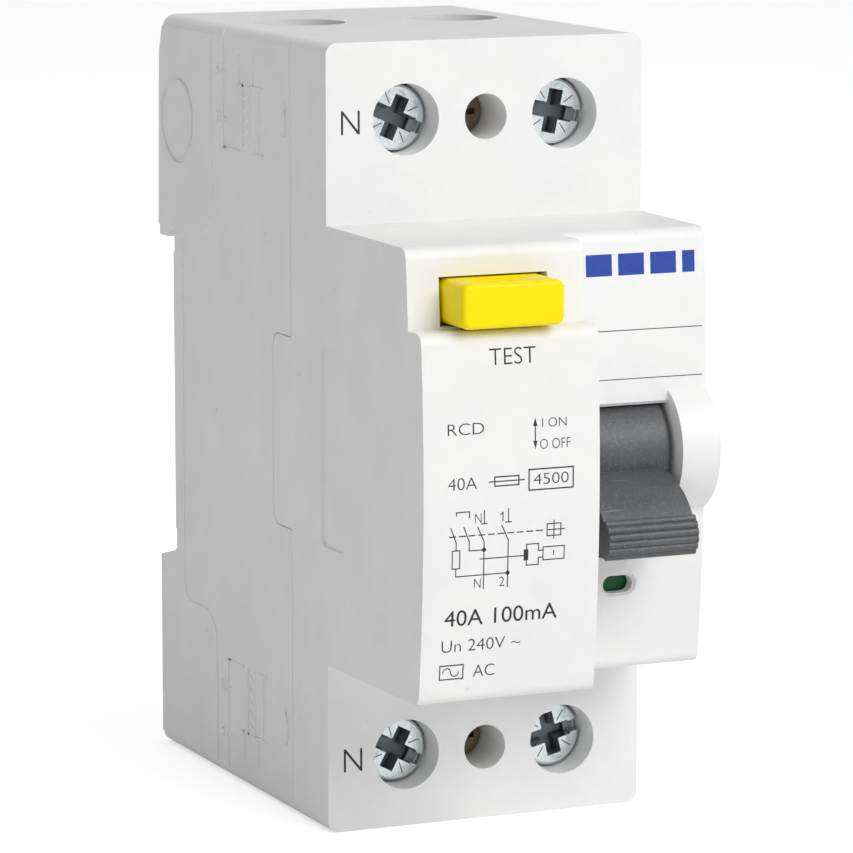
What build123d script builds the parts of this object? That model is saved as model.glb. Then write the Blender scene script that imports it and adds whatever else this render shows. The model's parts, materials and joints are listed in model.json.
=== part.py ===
"""Two-pole residual current device for a 35 mm rail.

Millimetres.  X runs across the device, +Y points back to the rail, +Z is up.
The origin is the middle of the seat that lies on the rail.
"""
from build123d import *
import os
from math import cos, radians, sin

os.makedirs("parts", exist_ok=True)

# ---------------------------------------------------------------- casing sizes
BODY_WIDTH = 35.4
TOP_Z = 41.1
BOTTOM_Z = -40.3
HOOK_BACK_Y = 4.6
SEAM_Y = -33.5
SHOULDER_Y = -43.15
WALL = 1.6
EDGE_ROUND = 1.2
SIDE_BORDER = 0.15
PART_GAP = 0.3
SEAM_GAP = 0.1

# ------------------------------------------------------------------ rail seat
RAIL_HALF = 17.5
SEAT_HALF = 15.4
SEAT_RELIEF = 0.3
RAIL_THICKNESS = 1.15
UPPER_LIP_Z = 16.8
LOWER_LIP_Z = -19.0
RAIL_PLAY = 0.2

# ----------------------------------------------------------------------- nose
NOSE_TOP_Z = 22.6
NOSE_BOTTOM_Z = -22.8
LEFT_NOSE_WIDTH = 19.0
UPPER_FACE_Y = -63.5
LOWER_FACE_Y = -67.5
FACE_STEP_Z = 14.5
RIGHT_FACE_Y = -58.3
FACE_CROWN = 0.6

# ------------------------------------------------------------------ terminals
TERMINAL_PITCH = 17.8
TERMINAL_INSET = 8.0
SCREW_HEAD_R = 3.4
SCREW_HEAD_LENGTH = 3.2
SCREW_SHANK_R = 2.5
SCREW_RECESS = 3.0
HEAD_CLEARANCE = 0.28
WIRE_ENTRY_R = 4.9
WIRE_ENTRY_LENGTH = 2.5
CAGE_HALF_WIDTH = 5.2
CAGE_HALF_HEIGHT = 4.7
CAGE_SIDE = 1.1
CAGE_END = 1.6
CAGE_LENGTH = 18.0
CAGE_TRAVEL = 7.0
BAR_THICKNESS = 2.0
BAR_WIDTH = 7.4
WIRE_SPACE = 8.5
SCREW_SLOT_ANGLES = {"supply_n": -24, "supply_l": -12, "load_n": -28, "load_l": 14}

# --------------------------------------------------------------- cover screws
COVER_HOLE_R = 2.35
COVER_SCREW_HEAD_R = 2.2
COVER_SCREW_R = 1.3
COVER_SCREW_DEPTH = 6.5
BOSS_R = 3.3

# --------------------------------------------------------------------- handle
CHEEK_WIDTH = 4.3
CHEEK_R = 7.1
HANDLE_AXIS_Y = RIGHT_FACE_Y + 3.5
HANDLE_AXIS_Z = 0.0
HANDLE_TRAVEL = 62.0
DRUM_R = 5.4
DRUM_SHELL = 1.2
DRUM_GAP = 0.4
HANDLE_SHAFT_R = 1.25
LEVER_INSET = 0.7
RIB_COUNT = 6
RIB_R = 0.42

# ------------------------------------------------------------------ mechanism
CRANK_R = 3.2
PIN_R = 0.8
LINK_THICKNESS = 1.2
LINK_WIDTH = 1.6
CARRIER_Y = -14.0
CARRIER_Z = -4.1
CARRIER_R = 4.0
CARRIER_ANGLE = 16.0
CARRIER_SHAFT_R = 1.5
RUNNING_FIT = 0.05
CONTACT_X = 10.4
ARM_WIDTH = 4.0
ARM_THICKNESS = 2.0
CONTACT_Z = 13.0
TIP_R = 2.0
TIP_THICKNESS = 1.0
PLATE_THICKNESS = 0.8
TRIP_Y = -40.0
TRIP_Z = -8.0
TRIP_TRAVEL = 7.0
LATCH_Y = -33.0
LATCH_Z = 14.0
LEVER_PIN_R = 1.0

# ---------------------------------------------------------- current transformer
TOROID_Y = -22.0
TOROID_Z = -15.8
TOROID_CASE_R = 10.8
TOROID_BORE_R = 5.0
TOROID_HEIGHT = 9.2
CASE_SKIN = 1.2
TURN_COUNT = 22
TURN_THICKNESS = 0.5
CONDUCTOR_R = 1.6
CONDUCTOR_X = 2.3

# ---------------------------------------------------------------- test circuit
BUTTON_WIDTH = 11.05
BUTTON_HEIGHT = 4.5
BUTTON_FRONT_Y = -68.5
BUTTON_TRAVEL = 2.0
BUTTON_FLANGE = 0.8
STEM_R = 1.6

# ----------------------------------------------------------------------- relay
RELAY_WIDTH = 11.2
RELAY_LENGTH = 15.0
RELAY_HEIGHT = 14.8
RELAY_SKIN = 0.8
RELAY_REAR_Y = -47.0

# ------------------------------------------------------------- indicator flag
FLAG_X = 8.3
FLAG_Z = -13.7
FLAG_SLOT_LENGTH = 3.3
FLAG_SLOT_HEIGHT = 1.8
FLAG_R = 4.6
FLAG_WIDTH = 5.0

# -------------------------------------------------------------------- rail clip
CLIP_HALF = 7.0
CLIP_TRAVEL = 3.0
CLIP_TOP_Z = -15.6

# ------------------------------------------------------------- derived places
HALF = BODY_WIDTH / 2
FLAG_PIVOT_Y = RIGHT_FACE_Y + WALL + 0.5 + PART_GAP + FLAG_R
INNER_X = HALF - WALL
POLE_X = TERMINAL_PITCH / 2
UPPER_SCREW_Z = TOP_Z - TERMINAL_INSET
LOWER_SCREW_Z = BOTTOM_Z + TERMINAL_INSET - 0.5
SPLIT_X = -HALF + LEFT_NOSE_WIDTH
LEFT_NOSE_X = (SPLIT_X - HALF) / 2
CHEEK_X = HALF - CHEEK_WIDTH
SCREW_HEAD_Y = SHOULDER_Y + SCREW_RECESS
SHANK_TOP_Y = SCREW_HEAD_Y + SCREW_HEAD_LENGTH
CAGE_FRONT_Y = SHANK_TOP_Y + PART_GAP + 2.7 + CAGE_TRAVEL
CAGE_BACK_Y = CAGE_FRONT_Y + CAGE_LENGTH
BAR_BACK_Y = CAGE_BACK_Y - CAGE_END - WIRE_SPACE
BAR_FRONT_Y = BAR_BACK_Y - BAR_THICKNESS
WIRE_Y = (BAR_BACK_Y + CAGE_BACK_Y - CAGE_END) / 2
CROSS_WALL = 1.2
UPPER_CROSS_Z = UPPER_SCREW_Z - CAGE_HALF_HEIGHT - 3.2
LOWER_CROSS_Z = LOWER_SCREW_Z + CAGE_HALF_HEIGHT + 3.2
TERMINALS = {
    "supply_n": (-POLE_X, UPPER_SCREW_Z, 1),
    "supply_l": (POLE_X, UPPER_SCREW_Z, 1),
    "load_n": (-POLE_X, LOWER_SCREW_Z, -1),
    "load_l": (POLE_X, LOWER_SCREW_Z, -1),
}


def side_plane(x):
    """Plane across the device at x: its own x is the device's Y, its y is Z."""
    return Plane.YZ.offset(x)


def front_plane(y):
    """Upright plane facing the front at y: extruding moves forwards."""
    return Plane.XZ.offset(-y)


def level_plane(z):
    """Level plane at z: extruding moves up."""
    return Plane.XY.offset(z)


def keep(piece, name):
    """Label one finished piece and write it as its own file."""
    piece.label = name
    export_step(piece, f"parts/{name}.step")


def bar_between(low, high):
    """A plain block from its lowest corner to its highest corner."""
    size = [b - a for a, b in zip(low, high)]
    middle = [(a + b) / 2 for a, b in zip(low, high)]
    with BuildPart(Plane(origin=middle)) as block:
        Box(*size)
    return block.part


def coil(start, direction, mean_r, wire_r, pitch, length):
    """A coil spring wound about direction from start."""
    with BuildPart() as spring:
        with BuildLine() as winding:
            Helix(pitch=pitch, height=length, radius=mean_r, center=start, direction=direction)
        with BuildSketch(Plane(origin=winding.line @ 0, z_dir=winding.line % 0)):
            Circle(wire_r)
        sweep(path=winding.line, is_frenet=True)
    return spring.part


def wire(points, radius, bends):
    """A round wire or conductor along straight runs joined by arcs."""
    with BuildPart() as run:
        with BuildLine() as path:
            FilletPolyline(*points, radius=bends)
        with BuildSketch(Plane(origin=path.line @ 0, z_dir=path.line % 0)):
            Circle(radius)
        sweep(path=path.line)
    return run.part


def shaft(x0, x1, y, z, radius):
    """A plain pin along X."""
    with BuildPart() as pin:
        with BuildSketch(side_plane(x0)):
            with Locations((y, z)):
                Circle(radius)
        extrude(amount=x1 - x0)
        chamfer(pin.faces().filter_by(Axis.X).edges(), 0.15)
    return pin.part


# =================================================================== rear base
BACK_WALL_Y = -WALL
RAIL_NOTCH_Z = RAIL_HALF + RAIL_PLAY
CHANNEL_HALF = CLIP_HALF + PART_GAP
CHANNEL_FLOOR_Y = RAIL_THICKNESS
CHANNEL_LIP_Y = 3.0
CHANNEL_LIP = 1.7
TAB_HALF = 10.15
TAB_REACH = 5.0
BORDER_TOP_Y = -11.4
BORDER_MID_Y = -2.5
BORDER_LOW_Y = -12.1
BORDER_TOP_CORNER_Z = 17.9
BORDER_LOW_CORNER_Z = -22.8

with BuildPart() as rear_base:
    with BuildSketch(side_plane(-HALF)):
        with BuildLine():
            Polyline(
                (SEAM_Y, BOTTOM_Z),
                (HOOK_BACK_Y, BOTTOM_Z),
                (HOOK_BACK_Y, LOWER_LIP_Z),
                (RAIL_THICKNESS, LOWER_LIP_Z + 0.3),
                (0, -RAIL_NOTCH_Z),
                (0, RAIL_NOTCH_Z),
                (RAIL_THICKNESS, RAIL_NOTCH_Z),
                (2 * RAIL_THICKNESS - RAIL_PLAY, UPPER_LIP_Z),
                (HOOK_BACK_Y, UPPER_LIP_Z),
                (HOOK_BACK_Y - 0.6, TOP_Z - 4),
                (HOOK_BACK_Y - 2.0, TOP_Z),
                (SEAM_Y, TOP_Z),
                close=True,
            )
        make_face()
    extrude(amount=BODY_WIDTH)
    long_edges = rear_base.edges().filter_by(Axis.Y)
    fillet(long_edges.group_by(Axis.Z)[0] + long_edges.group_by(Axis.Z)[-1], EDGE_ROUND)
    # the rear of each side wall stands a little proud, ending on an S-shaped line
    for side in (-1, 1):
        with BuildSketch(side_plane(side * HALF)):
            with BuildLine():
                FilletPolyline(
                    (BORDER_TOP_Y, TOP_Z - EDGE_ROUND),
                    (BORDER_TOP_Y, BORDER_TOP_CORNER_Z),
                    (BORDER_MID_Y, BORDER_TOP_CORNER_Z),
                    (BORDER_MID_Y, BORDER_LOW_CORNER_Z),
                    (BORDER_LOW_Y, BORDER_LOW_CORNER_Z),
                    (BORDER_LOW_Y, BOTTOM_Z + EDGE_ROUND),
                    radius=[4.0, 1.5, 2.0, 3.5],
                )
                Polyline(
                    (BORDER_LOW_Y, BOTTOM_Z + EDGE_ROUND),
                    (HOOK_BACK_Y, BOTTOM_Z + EDGE_ROUND),
                    (HOOK_BACK_Y, LOWER_LIP_Z),
                    (0, LOWER_LIP_Z + RAIL_THICKNESS),
                    (0, UPPER_LIP_Z + RAIL_THICKNESS),
                    (HOOK_BACK_Y, UPPER_LIP_Z + RAIL_THICKNESS),
                    (HOOK_BACK_Y - 0.6, TOP_Z - 4),
                    (HOOK_BACK_Y - 1.6, TOP_Z - EDGE_ROUND),
                    (BORDER_TOP_Y, TOP_Z - EDGE_ROUND),
                )
            make_face()
        extrude(amount=side * SIDE_BORDER)
    # inside: one deep tray, with the space behind the upper terminals cored out
    add(bar_between((-INNER_X, SEAM_Y, BOTTOM_Z + WALL), (INNER_X, BACK_WALL_Y, TOP_Z - WALL)),
        mode=Mode.SUBTRACT)
    add(bar_between((-INNER_X, BACK_WALL_Y, RAIL_NOTCH_Z + WALL),
                    (INNER_X, HOOK_BACK_Y - 2 * WALL, TOP_Z - 2 * WALL)), mode=Mode.SUBTRACT)
    for side in (-1, 1):
        inner, outer = sorted((side * (CHANNEL_HALF + WALL), side * INNER_X))
        add(bar_between((inner, BACK_WALL_Y, BOTTOM_Z + WALL),
                        (outer, HOOK_BACK_Y - WALL, LOWER_LIP_Z - WALL)), mode=Mode.SUBTRACT)
    # walls between the terminal chambers and the mechanism, and between the poles
    for z, end in ((UPPER_CROSS_Z, TOP_Z - WALL), (LOWER_CROSS_Z, BOTTOM_Z + WALL)):
        add(bar_between((-INNER_X, SEAM_Y, z - CROSS_WALL / 2), (INNER_X, BACK_WALL_Y, z + CROSS_WALL / 2)))
        low, high = sorted((z, end))
        add(bar_between((-CROSS_WALL / 2, SEAM_Y, low), (CROSS_WALL / 2, BACK_WALL_Y, high)))
        for x in (-POLE_X, POLE_X):
            add(bar_between((x - BAR_WIDTH / 2 - SEAM_GAP, BAR_FRONT_Y - SEAM_GAP, z - CROSS_WALL),
                            (x + BAR_WIDTH / 2 + SEAM_GAP, BAR_BACK_Y + SEAM_GAP, z + CROSS_WALL)),
                mode=Mode.SUBTRACT)
    # columns that take the cover screws
    for z in (UPPER_SCREW_Z, LOWER_SCREW_Z):
        with BuildSketch(front_plane(BACK_WALL_Y)):
            with Locations((0, z)):
                Circle(BOSS_R)
        extrude(amount=BACK_WALL_Y - SEAM_Y)
        with BuildSketch(front_plane(SEAM_Y + COVER_SCREW_DEPTH + PART_GAP)):
            with Locations((0, z)):
                Circle(COVER_SCREW_R + 0.02)
        extrude(amount=COVER_SCREW_DEPTH + PART_GAP, mode=Mode.SUBTRACT)
    # ledges that carry the current transformer, clear of the load bars
    shelf_top = TOROID_Z - TOROID_HEIGHT / 2 - TURN_THICKNESS - SEAM_GAP
    for side in (-1, 1):
        for front, back in ((TOROID_Y - 8, TOROID_Y - 3), (TOROID_Y + 6, TOROID_Y + 13)):
            inner, outer = sorted((side * 8.5, side * INNER_X))
            add(bar_between((inner, front, LOWER_CROSS_Z), (outer, back, shelf_top)))
    # wire entries through the end walls, with a collar inside
    for x, z, end in TERMINALS.values():
        wall_z = TOP_Z if end > 0 else BOTTOM_Z
        with BuildSketch(level_plane(wall_z - end * WIRE_ENTRY_LENGTH)):
            with Locations((x, WIRE_Y)):
                Circle(WIRE_ENTRY_R + 0.9)
        extrude(amount=end * (WIRE_ENTRY_LENGTH - WALL / 2))
        with BuildSketch(level_plane(wall_z + end)):
            with Locations((x, WIRE_Y)):
                Circle(WIRE_ENTRY_R)
        extrude(amount=-end * (WIRE_ENTRY_LENGTH + 2), mode=Mode.SUBTRACT)
    # undercut channel for the rail clip
    add(bar_between((-CHANNEL_HALF, CHANNEL_FLOOR_Y, BOTTOM_Z - 1),
                    (CHANNEL_HALF, CHANNEL_LIP_Y, LOWER_LIP_Z + WALL)), mode=Mode.SUBTRACT)
    add(bar_between((-CHANNEL_HALF + CHANNEL_LIP, CHANNEL_FLOOR_Y, BOTTOM_Z - 1),
                    (CHANNEL_HALF - CHANNEL_LIP, HOOK_BACK_Y + 1, LOWER_LIP_Z + WALL)), mode=Mode.SUBTRACT)
    # the seat pad is proud of the rest of the slot floor
    for low, high in ((SEAT_HALF, RAIL_NOTCH_Z - SEAM_GAP), (-RAIL_NOTCH_Z + SEAM_GAP, -SEAT_HALF)):
        add(bar_between((-HALF - 1, -SEAT_RELIEF, low), (HALF + 1, RAIL_PLAY, high)), mode=Mode.SUBTRACT)
    # notch that the cover's side tab drops into
    for side in (-1, 1):
        inner, outer = sorted((side * (INNER_X - 0.01), side * (HALF + 1)))
        with BuildSketch(side_plane(inner)):
            with Locations(((SEAM_Y - TAB_REACH) / 2 + SEAM_Y / 2 + TAB_REACH / 2, 0)):
                RectangleRounded(2 * TAB_REACH, 2 * TAB_HALF, 1.5)
        extrude(amount=outer - inner, mode=Mode.SUBTRACT)
    # plain ring sunk in each side wall
    for side in (-1, 1):
        with BuildSketch(side_plane(side * (HALF + SIDE_BORDER))):
            with Locations((-1.4, TOP_Z - 11)):
                Circle(4.9)
                Circle(4.2, mode=Mode.SUBTRACT)
        extrude(amount=-side * 0.25, mode=Mode.SUBTRACT)
keep(rear_base.part, "rear_base")

# ================================================================= front cover
WINDOW_TOP_Z = 5.2
WINDOW_BOTTOM_Z = -6.0
WINDOW_BEVEL = 0.7
POCKET_GAP = 0.33
BUTTON_X = LEFT_NOSE_X - 0.23
BUTTON_Z = FACE_STEP_Z + 0.4 + BUTTON_HEIGHT / 2
GUIDE_Y = UPPER_FACE_Y + 8.8
GUIDE_THICKNESS = 1.2
PIVOT_RIB_Y = HANDLE_AXIS_Y + 3.3
SCREW_TUBE_END_Y = SHANK_TOP_Y + PART_GAP
HOLE_R = SCREW_HEAD_R + HEAD_CLEARANCE
NOSE_ROUND = 1.2


def left_nose_outline(back_y):
    """Stepped outline of the left nose, from its crowned face back to back_y."""
    Polyline(
        (back_y, NOSE_BOTTOM_Z),
        (back_y, NOSE_TOP_Z + 0.1),
        (UPPER_FACE_Y + 0.3, NOSE_TOP_Z - 0.1),
        (UPPER_FACE_Y - 0.3, FACE_STEP_Z),
        (LOWER_FACE_Y + FACE_CROWN, FACE_STEP_Z),
    )
    ThreePointArc(
        (LOWER_FACE_Y + FACE_CROWN, FACE_STEP_Z),
        (LOWER_FACE_Y, FACE_STEP_Z / 4),
        (LOWER_FACE_Y + 2 * FACE_CROWN, NOSE_BOTTOM_Z + 0.4),
    )
    Line((LOWER_FACE_Y + 2 * FACE_CROWN, NOSE_BOTTOM_Z + 0.4), (back_y, NOSE_BOTTOM_Z))


def right_nose_outline(back_y):
    """Crowned outline of the right nose, back to back_y."""
    Polyline(
        (RIGHT_FACE_Y + 2.2 * FACE_CROWN, NOSE_BOTTOM_Z + 0.2),
        (back_y, NOSE_BOTTOM_Z),
        (back_y, NOSE_TOP_Z + 0.1),
        (RIGHT_FACE_Y + FACE_CROWN, NOSE_TOP_Z - 0.1),
    )
    ThreePointArc(
        (RIGHT_FACE_Y + FACE_CROWN, NOSE_TOP_Z - 0.1),
        (RIGHT_FACE_Y - 0.1, FACE_STEP_Z / 4),
        (RIGHT_FACE_Y + 2.2 * FACE_CROWN, NOSE_BOTTOM_Z + 0.2),
    )


with BuildPart() as front_cover:
    # terminal shoulders
    with BuildSketch(front_plane(SEAM_Y - SEAM_GAP)):
        with Locations((0, (TOP_Z + BOTTOM_Z) / 2)):
            RectangleRounded(BODY_WIDTH, TOP_Z - BOTTOM_Z, EDGE_ROUND)
    extrude(amount=SEAM_Y - SEAM_GAP - SHOULDER_Y)
    # left nose, stepped, and right nose, lower
    with BuildSketch(side_plane(-HALF)) as left_outline:
        with BuildLine():
            left_nose_outline(SEAM_Y - 2)
        make_face()
        corners = left_outline.vertices().sort_by(Axis.X)
        fillet([corners[0], corners[1], corners[3]], NOSE_ROUND)
    extrude(amount=LEFT_NOSE_WIDTH)
    with BuildSketch(side_plane(SPLIT_X)) as right_outline:
        with BuildLine():
            right_nose_outline(SEAM_Y - 2)
        make_face()
        fillet(right_outline.vertices().sort_by(Axis.X)[:2], NOSE_ROUND)
    extrude(amount=HALF - SPLIT_X)
    # raised cheek beside the handle
    with BuildSketch(side_plane(CHEEK_X)):
        with Locations((HANDLE_AXIS_Y, HANDLE_AXIS_Z)):
            Circle(CHEEK_R)
    extrude(amount=CHEEK_WIDTH)
    # hollow inside of the shoulders and of the two noses
    add(bar_between((-INNER_X, SHOULDER_Y + WALL, BOTTOM_Z + WALL), (INNER_X, SEAM_Y, TOP_Z - WALL)),
        mode=Mode.SUBTRACT)
    with BuildSketch(side_plane(-INNER_X)):
        with BuildLine():
            left_nose_outline(SEAM_Y + 10)
        make_face()
        offset(amount=-WALL, kind=Kind.INTERSECTION, mode=Mode.REPLACE)
    extrude(amount=LEFT_NOSE_WIDTH - 2 * WALL, mode=Mode.SUBTRACT)
    with BuildSketch(side_plane(SPLIT_X - 2 * WALL)):
        with BuildLine():
            right_nose_outline(SEAM_Y + 10)
        make_face()
        offset(amount=-WALL, kind=Kind.INTERSECTION, mode=Mode.REPLACE)
    extrude(amount=INNER_X - SPLIT_X + 2 * WALL, mode=Mode.SUBTRACT)
    # the rib between the noses and the rib in the cheek carry the handle shaft
    with BuildSketch(side_plane(SPLIT_X - WALL)):
        with Locations(((RIGHT_FACE_Y + PIVOT_RIB_Y) / 2, 0)):
            Rectangle(PIVOT_RIB_Y - RIGHT_FACE_Y, 2 * CHEEK_R)
    extrude(amount=WALL)
    with BuildSketch(side_plane(CHEEK_X)):
        with Locations((HANDLE_AXIS_Y, HANDLE_AXIS_Z)):
            Circle(CHEEK_R - 0.2)
        with Locations(((RIGHT_FACE_Y + PIVOT_RIB_Y) / 2, 0)):
            Rectangle(PIVOT_RIB_Y - RIGHT_FACE_Y, 2 * CHEEK_R, mode=Mode.INTERSECT)
    extrude(amount=CHEEK_WIDTH)
    # handle window: a rounded hollow for the drum, and a bevelled opening
    with BuildSketch(side_plane(SPLIT_X)):
        with Locations((HANDLE_AXIS_Y, HANDLE_AXIS_Z)):
            Circle(DRUM_R + DRUM_GAP)
    extrude(amount=CHEEK_X - SPLIT_X, mode=Mode.SUBTRACT)
    with BuildSketch(side_plane(SPLIT_X)):
        with BuildLine():
            Polyline(
                (RIGHT_FACE_Y + 2.4, WINDOW_TOP_Z - WINDOW_BEVEL + 0.9),
                (RIGHT_FACE_Y + 0.5, WINDOW_TOP_Z - WINDOW_BEVEL),
                (RIGHT_FACE_Y - 0.3, WINDOW_TOP_Z + 0.1),
                (RIGHT_FACE_Y - 5, WINDOW_TOP_Z + 0.1),
                (RIGHT_FACE_Y - 5, WINDOW_BOTTOM_Z),
                (RIGHT_FACE_Y + 2.4, WINDOW_BOTTOM_Z),
                close=True,
            )
        make_face()
    extrude(amount=CHEEK_X - SPLIT_X, mode=Mode.SUBTRACT)
    with BuildSketch(side_plane(SPLIT_X - WALL)):
        with Locations((HANDLE_AXIS_Y, HANDLE_AXIS_Z)):
            Circle(HANDLE_SHAFT_R)
    extrude(amount=HALF - SPLIT_X, mode=Mode.SUBTRACT)
    # guide tubes for the terminal screws
    for x, z, end in TERMINALS.values():
        with BuildSketch(front_plane(SCREW_TUBE_END_Y)):
            with Locations((x, z)):
                Circle(HOLE_R + 1.1)
        extrude(amount=SCREW_TUBE_END_Y - SHOULDER_Y - WALL / 2)
        with BuildSketch(front_plane(SCREW_TUBE_END_Y)):
            with Locations((x, z)):
                Circle(HOLE_R)
        extrude(amount=SCREW_TUBE_END_Y - SHOULDER_Y + 1, mode=Mode.SUBTRACT)
    # deep sleeves for the cover screws
    for z in (UPPER_SCREW_Z, LOWER_SCREW_Z):
        with BuildSketch(front_plane(SEAM_Y - SEAM_GAP)):
            with Locations((0, z)):
                Circle(BOSS_R)
        extrude(amount=SEAM_Y - SEAM_GAP - SHOULDER_Y - WALL / 2)
        with BuildSketch(front_plane(SEAM_Y - SEAM_GAP - WALL)):
            with Locations((0, z)):
                Circle(COVER_HOLE_R)
        extrude(amount=SEAM_Y - SHOULDER_Y + 1, mode=Mode.SUBTRACT)
        with BuildSketch(front_plane(SEAM_Y + 1)):
            with Locations((0, z)):
                Circle(COVER_SCREW_R + 0.02)
        extrude(amount=SEAM_Y + 1 - SHOULDER_Y, mode=Mode.SUBTRACT)
    # button pocket and the guide wall behind it
    add(bar_between((-INNER_X - 0.1, GUIDE_Y, BUTTON_Z - 4.2),
                    (SPLIT_X - WALL + 0.1, GUIDE_Y + GUIDE_THICKNESS, NOSE_TOP_Z - WALL + 0.5)))
    add(bar_between((BUTTON_X - BUTTON_WIDTH / 2 - POCKET_GAP, UPPER_FACE_Y - 5, FACE_STEP_Z + 0.2),
                    (BUTTON_X + BUTTON_WIDTH / 2 + POCKET_GAP, UPPER_FACE_Y + WALL + 0.8,
                     BUTTON_Z + BUTTON_HEIGHT / 2 + 0.2)), mode=Mode.SUBTRACT)
    with BuildSketch(front_plane(GUIDE_Y + GUIDE_THICKNESS + 1)):
        with Locations((BUTTON_X, BUTTON_Z)):
            Circle(STEM_R + PART_GAP)
    extrude(amount=GUIDE_THICKNESS + 2, mode=Mode.SUBTRACT)
    # indicator slot with a bevelled rim, and the ribs that carry the flag
    for side in (-1, 1):
        rib_x = FLAG_X + side * (FLAG_WIDTH / 2 + PART_GAP + 0.5)
        add(bar_between((rib_x - 0.5, RIGHT_FACE_Y + WALL / 2, FLAG_Z - 2.2),
                        (rib_x + 0.5, FLAG_PIVOT_Y + 1.8, FLAG_Z + 2.2)))
    with BuildSketch(side_plane(FLAG_X - FLAG_WIDTH)):
        with Locations((FLAG_PIVOT_Y, FLAG_Z)):
            Circle(PIN_R + RUNNING_FIT)
    extrude(amount=2 * FLAG_WIDTH, mode=Mode.SUBTRACT)
    with BuildSketch(front_plane(RIGHT_FACE_Y + 2 * WALL)):
        with Locations((FLAG_X, FLAG_Z)):
            SlotOverall(FLAG_SLOT_LENGTH, FLAG_SLOT_HEIGHT)
    extrude(amount=3 * WALL, mode=Mode.SUBTRACT)
    with BuildSketch(front_plane(RIGHT_FACE_Y + 0.9)):
        with Locations((FLAG_X, FLAG_Z)):
            SlotOverall(FLAG_SLOT_LENGTH + 0.1, FLAG_SLOT_HEIGHT + 0.1)
    extrude(amount=1.2, taper=-35, mode=Mode.SUBTRACT)
    # blank name panel sunk in the left side
    with BuildSketch(side_plane(-HALF)):
        with Locations((SHOULDER_Y - 1.35, 0)):
            RectangleRounded(6.0, 2 * TAB_HALF + 0.6, 1.0)
    extrude(amount=0.3, mode=Mode.SUBTRACT)
    # side tabs that reach back into the base
    for side in (-1, 1):
        inner, outer = sorted((side * INNER_X, side * HALF))
        with BuildSketch(side_plane(inner)):
            with Locations((SEAM_Y - 1, 0)):
                RectangleRounded(2 * (TAB_REACH + 1 - SEAM_GAP), 2 * (TAB_HALF - SEAM_GAP), 1.5)
        extrude(amount=outer - inner)
    # ledges for the circuit board
    for x0, x1 in ((-INNER_X - 0.1, -INNER_X + 1.2), (SPLIT_X - WALL - 1.2, SPLIT_X - WALL + 0.1)):
        add(bar_between((x0, LOWER_FACE_Y + WALL, -16.9), (x1, RIGHT_FACE_Y, -15.7)))
keep(front_cover.part, "front_cover")

# ================================================================ cover screws
with BuildPart() as cover_screws:
    for z in (UPPER_SCREW_Z, LOWER_SCREW_Z):
        seat_y = SEAM_Y - SEAM_GAP - WALL
        with BuildSketch(front_plane(seat_y)):
            with Locations((0, z)):
                Circle(COVER_SCREW_HEAD_R)
        extrude(amount=1.8)
        with BuildSketch(front_plane(SEAM_Y + COVER_SCREW_DEPTH)):
            with Locations((0, z)):
                Circle(COVER_SCREW_R)
        extrude(amount=SEAM_Y + COVER_SCREW_DEPTH - seat_y)
        with BuildSketch(front_plane(seat_y - 1.8)):
            with Locations((0, z)):
                Rectangle(3.0, 0.7)
                Rectangle(0.7, 3.0)
        extrude(amount=-1.1, mode=Mode.SUBTRACT)
keep(cover_screws.part, "cover_screws")

# =================================================================== rail clip
CLIP_BACK_Y = HOOK_BACK_Y - PART_GAP
CLIP_STEP_Y = CHANNEL_LIP_Y - PART_GAP
with BuildPart() as rail_clip:
    with BuildSketch(side_plane(-CLIP_HALF)):
        with BuildLine():
            Polyline(
                (CHANNEL_FLOOR_Y + PART_GAP, BOTTOM_Z + 1.6),
                (CLIP_STEP_Y, BOTTOM_Z + 1.6),
                (CLIP_STEP_Y, LOWER_LIP_Z),
                (CLIP_BACK_Y, LOWER_LIP_Z),
                (CLIP_BACK_Y, CLIP_TOP_Z - 2.2),
                (CHANNEL_FLOOR_Y + PART_GAP + 0.8, CLIP_TOP_Z),
                (CHANNEL_FLOOR_Y + PART_GAP, CLIP_TOP_Z),
                close=True,
            )
        make_face()
    extrude(amount=2 * CLIP_HALF)
    rib_half = CLIP_HALF - CHANNEL_LIP - PART_GAP / 2
    add(bar_between((-rib_half, CLIP_STEP_Y - 0.1, BOTTOM_Z + 1.6), (rib_half, CLIP_BACK_Y, LOWER_LIP_Z)))
    add(bar_between((-2.6, CHANNEL_FLOOR_Y, BOTTOM_Z + 3.2), (2.6, HOOK_BACK_Y, BOTTOM_Z + 4.8)),
        mode=Mode.SUBTRACT)
    # the part that stands in the slot is narrower than the channel, to pass its lips
    for side in (-1, 1):
        inner, outer = sorted((side * rib_half, side * (CLIP_HALF + 1)))
        add(bar_between((inner, CLIP_STEP_Y, LOWER_LIP_Z - CLIP_TRAVEL - PART_GAP),
                        (outer, CLIP_BACK_Y + 1, CLIP_TOP_Z + 1)), mode=Mode.SUBTRACT)
keep(rail_clip.part, "rail_clip")

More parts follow.
